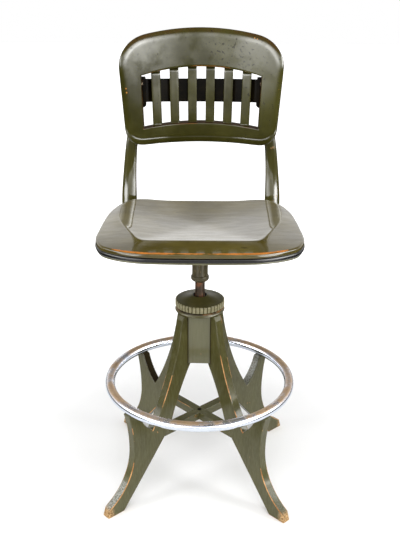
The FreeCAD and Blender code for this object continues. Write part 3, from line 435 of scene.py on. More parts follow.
def pale_wood():
    finish = Finish("pale_wood")
    where = finish.place()
    grain = speckle(90.0, where, 4.0)
    return finish.feed(Base_Color=blended(grain, dark_wood, bare_wood), Roughness=0.6)


dress(pale_wood(), "leg_dowels")

# Foot ring
# A steel tube bent to a ring and plated, held down by one screw into each leg's arm. Shoes have worn
# the plating off along its top, down to brown metal.

ring_radius = 210.9
ring_height = 249.0
ring_tube = 11.1
wear_starts, wear_full = 3.8, 10.0  # above the tube's middle


def plated_tube():
    finish = Finish("plated_tube")
    where = finish.place()
    height = where.axis(2) - ring_height * 0.001
    patches = speckle(16.0, where, 5.0, 0.65)
    scratches = speckle(120.0, where, 4.0, 0.7)
    top = between(wear_starts * 0.001, wear_full * 0.001, height + (patches - 0.5) * 0.005)
    worn = top * between(0.36, 0.62, patches + scratches * 0.15)
    bright = blended(scratches, rgb(226, 231, 240), rgb(202, 209, 222))
    brown = blended(scratches * 0.6 + patches * 0.5, rgb(134, 88, 46), rgb(200, 178, 148))
    bump = bumped(0.06, 0.0004, scratches)
    return finish.feed(Base_Color=blended(worn, bright, brown), Metallic=1.0 - worn * 0.45,
                       Roughness=0.07 + scratches * 0.06 + worn * 0.34, Normal=bump)


def closed_grid(rows, columns):
    """Quads of a grid that is closed both ways, as on a ring."""
    return [(i * columns + j, i * columns + (j + 1) % columns,
             (i + 1) % rows * columns + (j + 1) % columns, (i + 1) % rows * columns + j)
            for i in range(rows) for j in range(columns)]


def open_grid(rows, columns):
    """Quads of a grid that is closed along its rows only, as on a sleeve."""
    return closed_grid(rows, columns)[:(rows - 1) * columns]


def full_turn(count):
    return np.linspace(0, 2 * math.pi, count, False)


ring_steps, tube_steps = 240, 32
turn, tube_turn = np.meshgrid(full_turn(ring_steps), full_turn(tube_steps), indexing="ij")
out = ring_radius + ring_tube * np.cos(tube_turn)
ring_up = ring_height + ring_tube * np.sin(tube_turn)
ring_points = np.stack([out * np.cos(turn), out * np.sin(turn), ring_up], -1).reshape(-1, 3)
piece("foot_ring_tube", ring_points, closed_grid(ring_steps, tube_steps), "base", ["foot_ring"],
      plated_tube())

# Top plate, hand wheel and spindle
# The plate is screwed to the legs' upper ends. The wheel on it is cast iron with a fluted edge and is
# the nut of the height screw, and hands have rubbed its flutes. The spindle is rusty, oiled steel.


def turned_piece(profile, count, swell=None):
    """Points and faces of a closed (radius, height) profile turned about Z; swell changes the radius."""
    profile = np.array(profile, float)
    points = []
    for angle in full_turn(count):
        radius = profile[:, 0] if swell is None else swell(profile, angle)
        points.append(np.stack([radius * math.cos(angle), radius * math.sin(angle), profile[:, 1]], 1))
    return np.concatenate(points), closed_grid(count, len(profile))


def rounded(corners, radius, steps=4):
    """A closed (r, z) outline with each corner rounded by up to this radius."""
    made = []
    count = len(corners)
    for i in range(count):
        here = np.array(corners[i], float)
        before = np.array(corners[i - 1], float) - here
        after = np.array(corners[(i + 1) % count], float) - here
        reach = min(radius, np.linalg.norm(before) * 0.4, np.linalg.norm(after) * 0.4)
        start = here + before / np.linalg.norm(before) * reach
        end = here + after / np.linalg.norm(after) * reach
        for t in np.linspace(0, 1, steps + 1):
            made.append((1 - t) ** 2 * start + 2 * t * (1 - t) * here + t * t * end)
    return made


plate_bore = 22.05
plate_radius = 56.5
plate_bottom, plate_top = 432.0, 440.4
plate_profile = rounded([
    (plate_bore, plate_bottom), (plate_radius, plate_bottom), (plate_radius, plate_bottom + 2.4),
    (plate_radius - 1.6, plate_bottom + 4.6), (plate_radius - 1.6, plate_top), (plate_bore, plate_top)], 1.0)
wheel_bottom = 440.6
rim_bottom = 443.2
rim_top = 457.2
wheel_radius = 56.0
sleeve_bore, sleeve_radius = 11.15, 22.0
sleeve_bottom = 420.0
hub_radius, hub_top = 15.0, 466.6
hub_floor = 452.2
flute_count = 40
flute_depth = 2.3
wheel_profile = (
    rounded([(sleeve_bore, hub_floor), (sleeve_bore, sleeve_bottom), (sleeve_radius, sleeve_bottom),
             (sleeve_radius, wheel_bottom), (52.5, wheel_bottom), (52.5, rim_bottom),
             (wheel_radius, rim_bottom)], 0.7)[:-2]
    + [(wheel_radius - 0.2, rim_bottom + 0.3)]
    + [(wheel_radius, z) for z in np.linspace(rim_bottom + 0.8, rim_top - 1.6, 8)]
    + [(wheel_radius - 0.5, rim_top - 0.6), (wheel_radius - 1.5, rim_top)]
    + [tuple(p) for p in arc((wheel_radius - 2.4, rim_top + 0.3), (hub_radius + 1.4, hub_top), 2.2, 14)[1:]]
    + [(hub_radius + 0.5, hub_top), (hub_radius, hub_top - 0.6), (hub_radius, hub_floor + 0.4),
       (hub_radius - 0.4, hub_floor)])


def on_rim(profile):
    return (profile[:, 0] > wheel_radius - 1.6) & (profile[:, 1] > rim_bottom - 0.1)


def tooth(angle):
    """How far the rim stands out at an angle: 1 on the round back of a tooth, 0 in the groove."""
    return 1 - (1 - min(1.0, abs(math.sin(flute_count * angle / 2)) * 1.45)) ** 2


def fluted(profile, angle):
    """The wheel's radius: rounded teeth along the rim, plain elsewhere."""
    return profile[:, 0] - on_rim(profile) * flute_depth * (1 - tooth(angle))


def wheel_enamel():
    finish = Finish("wheel_enamel")
    where = finish.place()
    worn = finish.worn()
    height = where.axis(2)
    broken = speckle(90.0, where, 5.0, 0.7)
    patches = speckle(28.0, where, 3.0)
    level = finish.node("VectorMath", {"operation": "MULTIPLY"}, {0: where, 1: (1, 1, 0)})
    out = finish.node("VectorMath", {"operation": "LENGTH"}, {0: level}, "Value")
    dome = blended(speckle(60.0, where, 5.0, 0.7), rgb(52, 50, 20), rgb(92, 86, 50))
    dome = blended(between(0.62, 0.72, broken) * 0.7, dome, rgb(110, 92, 62))
    tan = blended(broken * 0.7 + patches * 0.3, rgb(84, 82, 52), rgb(176, 168, 136))
    rust = blended(between(0.4, 0.62, patches), rgb(48, 40, 20), rgb(132, 96, 58))
    on_plate = between(0.4412, 0.4404, height)
    colour = blended(on_plate * between(0.4376, 0.4384, height), dome, rust)
    # Painted shade: the hub round the spindle hole is darkened nearly to black.
    shade = between(0.0166, 0.0156, out)
    colour = blended(shade, colour, rgb(16, 14, 6))
    chipped = speckle(170.0, where, 3.0, 0.6, (1.0, 1.0, 0.6))
    colour = blended(between(0.50, 0.86, worn * (0.3 + chipped * 1.15)), colour, tan)
    bump = bumped(0.2, 0.0004, broken)
    return finish.feed(Base_Color=colour, Roughness=0.4 + worn * 0.1 + broken * 0.1, Normal=bump,
                       Specular_IOR_Level=0.04, Coat_Weight=0.22 + on_plate * 0.3, Coat_Roughness=0.12)


wheel_finish = wheel_enamel()
points, faces = turned_piece(plate_profile, 128)
piece("top_plate_disc", points, faces, "base", ["top_plate"], wheel_finish)
wheel_steps = flute_count * 16
points, faces = turned_piece(wheel_profile, wheel_steps, fluted)
rim_points = on_rim(np.array(wheel_profile))
teeth = [rim_points * tooth(angle) for angle in full_turn(wheel_steps)]
piece("hand_wheel_fluted", points, faces, "wheel", ["hand_wheel"], wheel_finish,
      np.concatenate(teeth))


def rusty_spindle():
    finish = Finish("rusty_spindle")
    where = finish.place()
    rust = speckle(55.0, where, 6.0, 0.7, (1.0, 1.0, 0.5))
    fine = speckle(400.0, where, 3.0)
    stops = [(0.32, rgb(24, 16, 10)), (0.46, rgb(62, 48, 34)), (0.56, rgb(110, 62, 32)),
             (0.70, rgb(116, 100, 82))]
    colour = finish.node("ValToRGB", {"stops": stops}, {0: rust})
    bump = bumped(0.3, 0.0005, fine + rust)
    return finish.feed(Base_Color=colour, Metallic=0.6, Roughness=0.3 + rust * 0.3, Normal=bump)


spindle_radius = 11.1
spindle_low, spindle_high = 330.0, 588.0
hollow = 0.5
spindle_profile = rounded([(hollow, spindle_low), (spindle_radius, spindle_low),
                           (spindle_radius, spindle_high), (hollow, spindle_high)], 0.9)
points, faces = turned_piece(spindle_profile, 64)
piece("spindle_bar", points, faces, "spindle", ["spindle"], rusty_spindle())
dress(metal("brass", rgb(190, 150, 80), rgb(120, 90, 40), 0.25), "thrust_washer")

# Socket and spider under the seat
# An iron tube with a rolled bead at its mouth drops over the spindle, and its set screw lets it turn
# but not lift. The four-armed casting round its upper end is screwed under the seat.

socket_bore, socket_radius, bead_radius = 11.15, 17.8, 20.4
socket_mouth, socket_end, socket_top = 500.0, 590.0, 594.0
socket_profile = rounded([
    (socket_bore, socket_mouth), (socket_bore + 1.45, socket_mouth), (bead_radius - 1.0, socket_mouth + 4.6),
    (bead_radius, socket_mouth + 7.0), (bead_radius, socket_mouth + 13.0),
    (bead_radius - 0.8, socket_mouth + 14.4), (socket_radius, socket_mouth + 15.4),
    (socket_radius, socket_top), (hollow, socket_top), (hollow, socket_end), (socket_bore, socket_end)], 0.9)


def worn_iron():
    finish = Finish("worn_iron_enamel")
    where = finish.place()
    streaks = speckle(40.0, where, 5.0, 0.65, (3.0, 3.0, 0.8))
    paint = blended(streaks, rgb(36, 32, 16), rgb(88, 80, 54))
    specks = between(0.66, 0.72, speckle(150.0, where, 4.0))
    bump = bumped(0.25, 0.0005, streaks)
    return finish.feed(Base_Color=blended(specks, paint, rgb(150, 128, 96)), Normal=bump,
                       Roughness=0.3 + streaks * 0.2, Specular_IOR_Level=0.2, Coat_Weight=0.1,
                       Coat_Roughness=0.15)


points, faces = turned_piece(socket_profile, 96)
piece("socket_tube_turned", points, faces, "seat", ["socket_tube"], worn_iron())
dress(painted_iron, "seat_spider")
dress(old_steel, "socket_screw", "spider_screws", "upright_screws", "back_bar_screws", "pivot_screws",
      "pivot_bracket_screws")

# Seat
# A moulded board, dished for the sitter, lies on a lower board with a black strip let in between
# them. The enamel on it is thick and polished by use, and worn through along the front arris.

seat_slope = 1.7
seat_base_height = 611.9
seat_half_width = 219.0
seat_front = 205.0
seat_rear = 198.0
rim_edge = 5.0
strip_high = 14.0
board_top = 24.0
board_thickness = 11.0
board_round = 4.5
crest_rise = 4.0
dish_depth = 16.0
dish_lip = 0.8
dish_centre = 40.0
crest_half_width = 187.0
crest_front = 127.0
crest_rear = 250.0
crest_corner = 124.0
crest_rear_corner = 187.0
crest_rear_start = 147.0
front_corner_way = (0.926, -0.3775)
rear_corner_way = (0.81, 0.585)
crest_soften = 0.045
loop_steps = 360


side, front, rear = seat_half_width, -seat_front, seat_rear
seat_half = [
    (0, front), (side - 137, front + 2), (side - 96, front + 6), (side - 52, front + 21),
    (side - 20, front + 45), (side - 5, front + 78), (side, front + 110),
    (side - 1.5, rear - 228), (side - 4.5, rear - 168), (side - 10.5, rear - 112),
    (side - 29, rear - 52), (side - 51, rear - 16), (side - 80.5, rear - 1), (side - 140, rear)]


def evenly(loop, count=None, step=0.5):
    """Points evenly spaced along a closed loop: this many, or one at every step."""
    loop = np.array([*loop, loop[0]], float)
    run = np.concatenate([[0], np.cumsum(np.linalg.norm(np.diff(loop, axis=0), axis=1))])
    even = np.linspace(0, run[-1], count or int(run[-1] / step), False)
    return np.column_stack([np.interp(even, run, loop[:, k]) for k in (0, 1)])


def smooth_loop(points, count):
    """A closed smooth curve through the points, with its points evenly spaced."""
    points = np.array(points, float)
    steps = np.linalg.norm(np.roll(points, -1, 0) - points, axis=1) ** 0.5
    n = len(points)
    fine = []
    for i in range(n):
        p0, p1, p2, p3 = (points[(i + k) % n] for k in (-1, 0, 1, 2))
        d0, d1, d2 = steps[i - 1], steps[i], steps[(i + 1) % n]
        m1 = d1 * ((p1 - p0) / d0 - (p2 - p0) / (d0 + d1) + (p2 - p1) / d1)
        m2 = d1 * ((p2 - p1) / d1 - (p3 - p1) / (d1 + d2) + (p3 - p2) / d2)
        for t in np.linspace(0, 1, 40, False):
            fine.append((2 * t ** 3 - 3 * t * t + 1) * p1 + (t ** 3 - 2 * t * t + t) * m1
                        + (3 * t * t - 2 * t ** 3) * p2 + (t ** 3 - t * t) * m2)
    return evenly(fine, count)


def unit(vectors):
    return vectors / np.linalg.norm(vectors, axis=1)[:, None]


def inward(loop, inset):
    """The loop moved inwards by the inset."""
    along = unit(np.roll(loop, -1, 0) - np.roll(loop, 1, 0))
    return loop + np.stack([-along[:, 1], along[:, 0]], 1) * inset


def soft_limit(value, soften):
    """The value where it is well above nothing, running softly out to nothing below it."""
    return soften * np.logaddexp(0, value / soften)


def dish_share(points):
    """How far out a point lies from the dish's centre, as a share of the way to the crest."""
    x, y = np.abs(points[:, 0]), points[:, 1] - dish_centre
    front, rear = -crest_front - dish_centre, crest_rear_start - dish_centre
    lines = [x / crest_half_width, y / front, y / (crest_rear - dish_centre)]
    corners = ((front_corner_way, crest_corner, front), (rear_corner_way, crest_rear_corner, rear))
    for (a, b), corner_x, corner_y in corners:
        lines.append((a * x + b * y) / (a * corner_x + b * corner_y))
    return crest_soften * np.logaddexp.reduce(np.stack(lines) / crest_soften, axis=0)


def dished(points, drop=0.0):
    """Height of the sitting surface: a dish within a crest, and a rim that falls away outside it."""
    share = dish_share(points)
    outside = soft_limit(share - 1, 0.012) / edge_share
    inside = soft_limit(1 - share, 0.008)
    fall = dish_lip * (1 - np.exp(-inside / 0.02)) + (dish_depth - dish_lip) * (1 - (1 - inside) ** 1.4)
    return board_top - drop + crest_rise * (1 - outside) - fall


def on_seat(points):
    """From the seat's own plane to its place on the stool."""
    x, y, z = points.T
    y, z = turned(y, z, -seat_slope)
    return np.stack([x, y, z + seat_base_height], 1)


def easing(radius, count):
    """Inset and rise of the steps round an edge of this radius, from its foot to its side."""
    angles = np.linspace(0, math.pi / 2, count)
    return [(radius * (1 - math.sin(a)), radius * (1 - math.cos(a))) for a in angles]


def capped(rings):
    """Faces of a stack of rings with a fan at each end."""
    count = len(rings[0])
    faces = open_grid(len(rings), count)
    first, last = len(rings) * count, len(rings) * count + 1
    for j in range(count):
        k = (j + 1) % count
        faces.append((first, k, j))
        faces.append((last, (len(rings) - 1) * count + j, (len(rings) - 1) * count + k))
    points = np.concatenate(rings + [rings[0].mean(0)[None], rings[-1].mean(0)[None]])
    return points, faces


seat_loop = smooth_loop(seat_half + [(-x, y) for x, y in reversed(seat_half[1:])], loop_steps)


def level(loop, height):
    """The loop as a ring at one height, or at a height for each of its points."""
    return np.column_stack([loop, np.full(len(loop), height)])


def ring_at(inset, height):
    return level(inward(seat_loop, inset), height)


def shrunk(loop, share, surface):
    return level(loop * share, surface(loop * share))


# How far past the crest the board's edge lies, for each point of the loop
top_loop = inward(seat_loop, board_round)
edge_share = np.maximum(dish_share(top_loop) - 1, 0.12)
shares = [*np.linspace(0.02, 0.6, 20), *np.linspace(0.61, 0.985, 60)]


def underside(points):
    return np.minimum(strip_high, dished(points, board_thickness))


# The board from the middle of its underside, round its edge and in over the dish
rings = [shrunk(seat_loop, s, underside) for s in (0.02, 0.2, 0.4, 0.6, 0.75, 0.85, 0.93)]
rings += [ring_at(3.0, strip_high), ring_at(0.9, strip_high), ring_at(0.25, strip_high + 0.7),
          ring_at(0.0, strip_high + 2.0)]
worn = [0.0] * len(rings)
for lower, inset in easing(board_round, 9):
    rings.append(ring_at(inset, dished(top_loop) - lower))
    worn.append(max(0.0, 1 - 2 * lower / board_round) ** 0.5)
for share in shares[::-1]:
    rings.append(shrunk(top_loop, share, dished))
    worn.append(max(0.0, 1 - (1 - share) * 45))
points, faces = capped(rings)
seat_worn = np.append(np.repeat(worn, loop_steps), [0.0, 0.0])


def seat_enamel():
    finish = Finish("seat_enamel")
    where = finish.place()
    worn = finish.worn()
    side = abs(where.axis(0))
    front = between(-0.150, -0.190, where.axis(1))
    ends = between(0.035, 0.075, side) * between(0.195, 0.165, side)
    broken = speckle(60.0, where, 5.0, 0.65)
    rub = worn * front * (0.6 + ends * 0.4)
    bare = between(0.34, 0.5, rub * (broken * 1.3 + 0.12))
    cloud = speckle(7.0, where, 4.0, 0.6)
    scuffs = speckle(18.0, where, 6.0, 0.7, (1.0, 4.0, 1.0))
    paint = blended(between(0.3, 0.7, cloud), rgb(66, 57, 22), rgb(92, 82, 40))
    nicks = speckle(60.0, where, 3.0, 0.5, (0.5, 1.6, 1.0))
    nicks = between(0.68, 0.72, nicks) * between(0.5, 0.6, cloud)
    paint = blended(nicks * 0.7, paint, rgb(40, 32, 16))
    wood = blended(broken, rgb(112, 62, 18), rgb(210, 128, 44))
    bump = bumped(0.2, 0.002, speckle(9.0, where, 3.0) + scuffs * 0.16)
    return finish.feed(Base_Color=blended(bare, paint, wood), Normal=bump,
                       Roughness=0.05 + between(0.45, 0.75, scuffs) * 0.12 + bare * 0.3,
                       Specular_IOR_Level=0.25, Coat_Roughness=0.045,
                       Coat_Weight=0.38 + between(0.4, 0.62, scuffs) * 0.24 - bare * 0.4 - nicks * 0.2)


seat_finish = seat_enamel()
piece("seat_dished_board", on_seat(points), faces, "seat", ["seat_board"], seat_finish,
      seat_worn)

# The strip is let in behind the board's edge and stands proud in a slight bow
strip_inset = 6.0
strip_bow = 1.2
strip_rings = [ring_at(strip_inset, rim_edge)]
for t in np.linspace(-1, 1, 9):
    proud = strip_bow * (1 - t ** 2) - 0.15 - max(0.0, t) ** 2
    strip_rings.append(ring_at(-proud, rim_edge + (t + 1) / 2 * (strip_high - rim_edge)))
strip_rings.append(ring_at(strip_inset, strip_high))


def black_strip():
    finish = Finish("black_strip")
    where = finish.place()
    dust = speckle(25.0, where, 5.0, 0.7)
    colour = blended(between(0.5, 0.8, dust), rgb(10, 9, 8), rgb(34, 30, 24))
    return finish.feed(Base_Color=colour, Roughness=0.3 + dust * 0.16, Specular_IOR_Level=0.04,
                       Coat_Weight=0.7, Coat_Roughness=0.2)


piece("seat_black_strip", on_seat(np.concatenate(strip_rings)), closed_grid(len(strip_rings), loop_steps),
      "seat", ["seat_edge_strip"], black_strip())

# The lower board: an eased rim, a step for the strip, and the hollow that the upper board fills
low_arris = 2.0
low_inset = 2.0
step_inset = 6.2
low_top = 9.0
board_gap = 0.4


def under_board(points):
    return np.minimum(low_top, dished(points, board_thickness + board_gap))


low_rings = [level(inward(seat_loop, low_inset + low_arris) * share, 0.0) for share in (0.02, 0.4, 0.8, 0.97)]
low_rings += [ring_at(low_inset + inset, rise) for inset, rise in easing(low_arris, 5)]
low_rings += [ring_at(low_inset, rim_edge), ring_at(step_inset, rim_edge), ring_at(step_inset, low_top)]
for share in (0.9, 0.7, 0.5, 0.3, 0.02):
    low_rings.append(shrunk(inward(seat_loop, step_inset), share, under_board))
points, faces = capped(low_rings)


def rail_enamel(name, tone, rough, coat, shine=0.04):
    """The plain glossy enamel of the pieces that hands and shoes hardly reach."""
    finish = Finish(name)
    where = finish.place()
    worn = finish.worn()
    rubbed = worn * between(0.62, 0.8, speckle(26.0, where))
    colour, bare = worn_enamel(where, rubbed, 0.40, 0.5, 0.3, tone)
    grain = speckle(50.0, where, 4.0, 0.6, (4.0, 4.0, 0.4))
    bump = bumped(0.06, 0.0008, grain)
    return finish.feed(Base_Color=colour, Roughness=rough + grain * 0.1 + bare * 0.3, Normal=bump,
                       Specular_IOR_Level=shine, Coat_Weight=coat, Coat_Roughness=0.07)


# Painted light: the lower board takes the palest tone of the enamel, lighter than the other pieces, standing
# in for the floor light it reflects.
lower_finish = rail_enamel("lower_enamel", tone=1.0, rough=0.4, coat=0.6)
piece("seat_lower_panel", on_seat(points), faces, "seat", ["seat_lower_board"], lower_finish)


def oblong(half_width, front, rear, corner, steps):
    """The four rounded corners of a rectangle, from the rear right one round by the rear."""
    side = half_width - corner
    places = ((side, rear - corner), (-side, rear - corner), (-side, front + corner), (side, front + corner))
    corners = []
    for quarter, centre in enumerate(places):
        turns = np.radians(np.linspace(quarter * 90, quarter * 90 + 90, steps))
        corners.append(centre + corner * np.column_stack([np.cos(turns), np.sin(turns)]))
    return corners


# The thicker middle of the lower board, which carries the spider
middle_arris = 4.0
middle_bottom, middle_top = -8.0, 0.5
middle_half_width, middle_front, middle_rear = 153.5, -143.0, 136.0
middle_corner = 60.0
middle = np.concatenate(oblong(middle_half_width, middle_front, middle_rear, middle_corner, 16))
middle_rings = [level(middle * 0.02, middle_bottom)]
for inset, rise in easing(middle_arris, 5):
    middle_rings.append(level(inward(middle, inset), middle_bottom + rise))
middle_rings.append(level(middle, middle_top))
points, faces = capped(middle_rings)
piece("seat_lower_middle", on_seat(points), faces, "seat", [], lower_finish)

# Uprights
# Two bent wooden posts. A foot under the seat takes the screws, and the post bends up behind the
# seat, leans back and draws in to the bar. Their arrises are well rounded and catch long highlights.

back_lean = 6.0
back_place = 214.0
back_height = 895.0
back_curve = 400.0
upright_width = 27.0
upright_thickness = 17.0
upright_flare = 9.5
flare_start = 636.0
foot_start = 80.0
foot_end = 168.0
foot_thickness = 20.0
bend_inner, bend_outer = 10.0, 24.0
post_front = 200.0
post_inner = 155.0
bar_foot = 880.0
rail_top = 24.0
post_low_bend, post_high_bend = 131.5, 46.0
post_middle_inner, post_high_inner = 151.5, 135.5
post_head, post_head_inner = 886.3, 131.4
post_end, post_end_inner = 920.0, 128.0
bar_depth, bar_half = 26.0, 128.0
bar_front_depth = bar_depth - (back_curve - math.sqrt(back_curve ** 2 - bar_half ** 2))
upright_face = bar_front_depth + 3.0


def leaned(points):
    """From the back's own upright frame (x, depth, rise) to its place on the stool."""
    x, y, z = np.asarray(points, float).T
    y, z = turned(y, z, -back_lean)
    return np.stack([x, back_place + y, back_height + z], 1)


def seat_plane(y):
    return seat_base_height - y * math.tan(math.radians(seat_slope))


def upright_rails():
    """The upright's front and rear lines in the YZ plane, with matching points."""
    lean = math.radians(back_lean)
    thick = upright_thickness
    foot_z = seat_plane(188.0)
    top_front = leaned([(0, upright_face, rail_top)])[0][1:]
    top_rear = leaned([(0, upright_face + thick, rail_top)])[0][1:]
    bend_end = np.array([post_front, foot_z + bend_inner])
    run, rise = top_front - bend_end
    half_turn = math.tan(lean / 2)
    curve_rise = (run - rise * math.tan(lean)) / (half_turn - math.tan(lean))
    radius = curve_rise / math.sin(lean)
    front, rear = [], []
    for y in np.linspace(foot_start, foot_end, 10):
        front.append((y, seat_plane(y)))
        rear.append((y, seat_plane(y) - foot_thickness))
    for back, down in easing(1.0, 13):
        front.append((post_front - bend_inner * back, foot_z + bend_inner * down))
        rear.append((post_front + thick - bend_outer * back, foot_z - foot_thickness + bend_outer * down))
    for a in np.linspace(0, lean, 12)[1:]:
        y, z = post_front + radius * (1 - math.cos(a)), bend_end[1] + radius * math.sin(a)
        front.append((y, z))
        rear.append((y + thick * math.cos(a), z - thick * math.sin(a)))
    start_front, start_rear = np.array(front[-1]), np.array(rear[-1])
    for t in np.linspace(0, 1, 14)[1:]:
        front.append(start_front + (top_front - start_front) * t)
        rear.append(start_rear + (top_rear - start_rear) * t)
    return np.array(front), np.array(rear)


def upright_sides(z):
    """Inner and outer x of the right upright at a height, drawn in towards the bar by soft bends."""
    levels = [550.0, flare_start, flare_start + 60.0, back_height - post_low_bend,
              back_height - post_high_bend, post_head, post_end]
    inner = [post_inner, post_inner, post_inner, post_middle_inner, post_high_inner, post_head_inner,
             post_end_inner]
    flare = [upright_flare, upright_flare, upright_flare * 0.4, 0, 0, 0, 0]
    nearby = z + np.linspace(-24, 24, 9)
    x = np.interp(nearby, levels, inner).mean() if z < bar_foot else np.interp(z, levels, inner)
    return x, x + upright_width + np.interp(nearby, levels, flare).mean()


def sleeve(rows, count):
    """Faces of a stack of sections, closed at both ends."""
    faces = open_grid(rows, count)
    faces.append(tuple(range(count))[::-1])
    faces.append(tuple((rows - 1) * count + j for j in range(count)))
    return faces


def upright_mesh(count=56):
    """Well-rounded oblong sections strung between the two rails."""
    front, rear = upright_rails()
    turns = full_turn(count)
    wear = np.clip(2 - 4 * np.abs(np.abs(np.cos(turns)) - 0.7), 0, 1)
    points = []
    for k, (f, r) in enumerate(zip(front, rear)):
        low_x, high_x = upright_sides((f[1] + r[1]) / 2)
        shrink = 1.6 if k in (0, len(front) - 1) else 0.0
        fullness = np.interp(r[1], [640.0, 780.0], [1.0, 0.5])
        across, deep = (np.sign(v) * np.abs(v) ** fullness for v in (np.cos(turns), np.sin(turns)))
        x = (low_x + high_x) / 2 + ((high_x - low_x) / 2 - shrink) * across
        points.append(np.column_stack([x, f + (r - f) * (1 + deep[:, None]) / 2]))
    return np.concatenate(points), sleeve(len(front), count), np.tile(wear, len(front))


post_finish = rail_enamel("post_enamel", tone=0.0, rough=0.05, coat=0.0, shine=0.85)
points, faces, worn = upright_mesh()
piece("upright_post_right", points, [f[::-1] for f in faces], "seat", ["upright_right"], post_finish,
      worn)
piece("upright_post_left", points * (-1, 1, 1), faces, "seat", ["upright_left"], post_finish,
      worn)

# Bar and pivots
# A flat steel bar, bowed to follow the back, joins the tops of the posts and widens to a plate on
# each. It and the pivot brackets are japanned black.

black_japan = metal("black_japan", rgb(24, 19, 8), rgb(10, 8, 4), 0.3, metallic=0.0, scale=30.0,
                    edge=0.0012, coat=0.12, shine=0.0)
dress(black_japan, "back_bar", "pivot_bracket_right", "pivot_bracket_left")

# Back
# A board bent to the sitter's back, cut out to a window and rolled over along its outer edge. Six
# thin slats are tenoned between the window's upper and lower edges, set back from the face.

back_thickness = 19.8
roll_width = 19.0
roll_depth = 8.5
roll_rear = 5.5
sill_rise = 8.5
sill_slope = 3.0
sill_front, sill_rear = -34.6, 30.0
window_half_top, window_half_bottom = 138.0, 132.5
window_top, window_top_end = 48.0, 27.5
window_bottom, window_bottom_end = -85.3, -95.0
window_middle = -20.0
softening_passes = 60


def mirrored(run):
    """A run of outline points on the other side, in the outline's own direction."""
    return (run * (-1, 1))[::-1]


crown_end, crown_rise = (125.0, 120.5), 14.5
shoulder, shoulder_bulge = (187.5, 55.0), 15.0
hip, foot_corner, foot_rise = (175.5, -93.5), (137.5, -131.5), 6.5
corner_bulge = (hip[0] - foot_corner[0]) * (math.sqrt(2) - 1) / math.sqrt(2)
crown = arc(crown_end, (-crown_end[0], crown_end[1]), -crown_rise, 80)
foot_edge = arc((-foot_corner[0], foot_corner[1]), foot_corner, foot_rise, 60)
foot_turn = arc(foot_corner, hip, -corner_bulge, 30)
shoulder_turn = arc(shoulder, crown_end, -shoulder_bulge, 40)
# The outline, with its corners softened
outline = evenly(joined(crown, mirrored(shoulder_turn), mirrored(foot_turn), foot_edge, foot_turn,
                        shoulder_turn))
for _ in range(softening_passes):
    outline = (np.roll(outline, 3, 0) + outline + np.roll(outline, -3, 0)) / 3


def bearing_of(points):
    """Direction of each point from the middle of the window."""
    return np.arctan2(points[:, 1] - window_middle, points[:, 0])


bearing = np.unwrap(bearing_of(outline))
order = np.argsort(bearing)
bearing, outline = bearing[order], outline[order]
arch_steps, side_steps = 110, 60
top_right, top_left = (window_half_top, window_top_end), (-window_half_top, window_top_end)
low_left, low_right = (-window_half_bottom, window_bottom_end), (window_half_bottom, window_bottom_end)
window = np.concatenate([
    arc(top_right, top_left, window_top_end - window_top, arch_steps)[:-1],
    np.linspace(top_left, low_left, side_steps, False),
    arc(low_left, low_right, window_bottom - window_bottom_end, arch_steps)[:-1],
    np.linspace(low_right, top_right, side_steps, False)])
sill_share = np.concatenate([np.zeros(arch_steps), np.linspace(0, 1, side_steps, False),
                             np.ones(arch_steps), np.linspace(1, 0, side_steps, False)])
# The outline's points that lie straight out from those of the window
ray = bearing[0] + np.mod(bearing_of(window) - bearing[0], 2 * math.pi)
outer = np.column_stack([np.interp(ray, bearing, outline[:, k], period=2 * math.pi) for k in (0, 1)])
away = unit(outer - window)


def at_depth(flat, depth):
    """Points of the flat outline frame carried onto the curved board at a depth behind its face."""
    x, z = flat.T
    return np.stack([x, -back_curve + np.sqrt((back_curve + depth) ** 2 - x ** 2), z], 1)


def sill(flat, depth):
    """The window's edge at a depth: the sill climbs towards the rear."""
    bowed = np.clip((at_depth(flat, depth)[:, 1] - sill_front) / (sill_rear - sill_front), 0, 1)
    lift = (sill_rise * bowed + sill_slope * depth / back_thickness) * sill_share
    return flat + np.stack([np.zeros(len(flat)), lift], 1)


# The board's skin, row by row: the rolled edge, the side, the rear, the window and the face
window_arris = 1.3
loops, wear_rows = [], []


def row(flat, depth, wear):
    """One closed row of the board's skin, and how worn it is."""
    loops.append(at_depth(flat, depth))
    wear_rows.append(wear)


for flatness, fall in easing(1.0, 14)[:-1]:
    row(inward(outer, roll_width * flatness), roll_depth * fall, flatness - 1.0)
for depth in np.linspace(roll_depth, back_thickness - roll_rear, 4):
    row(outer, depth, -1.0)
for short, inset in easing(roll_rear, 8)[1:]:
    row(inward(outer, inset), back_thickness - short, 0.0)
rear_start = inward(outer, roll_rear)
rear_end = sill(window, back_thickness)
for t in np.linspace(0, 1, 10)[1:-1]:
    row(rear_start + (rear_end - rear_start) * t, back_thickness, 0.0)
for inset, rise in easing(window_arris, 4):
    row(sill(window, back_thickness - window_arris + inset) + away * inset, back_thickness - rise, 0.3)
for depth in np.linspace(back_thickness - window_arris, window_arris, 6)[1:-1]:
    row(sill(window, depth), depth, -2.0)
for depth, inset in easing(window_arris, 5):
    row(sill(window, window_arris) + away * inset, depth, 1.0 if depth < window_arris * 0.15 else -2.0)
face_start = sill(window, window_arris) + away * window_arris
face_end = inward(outer, roll_width)
for t in np.linspace(0, 1, 18)[1:-1]:
    row(face_start + (face_end - face_start) * t, 0.0, max(0.0, 0.5 - t * 6))
points = np.concatenate(loops)
back_faces = [f[::-1] for f in closed_grid(len(loops), len(outer))]
back_worn = np.repeat(wear_rows, len(outer))


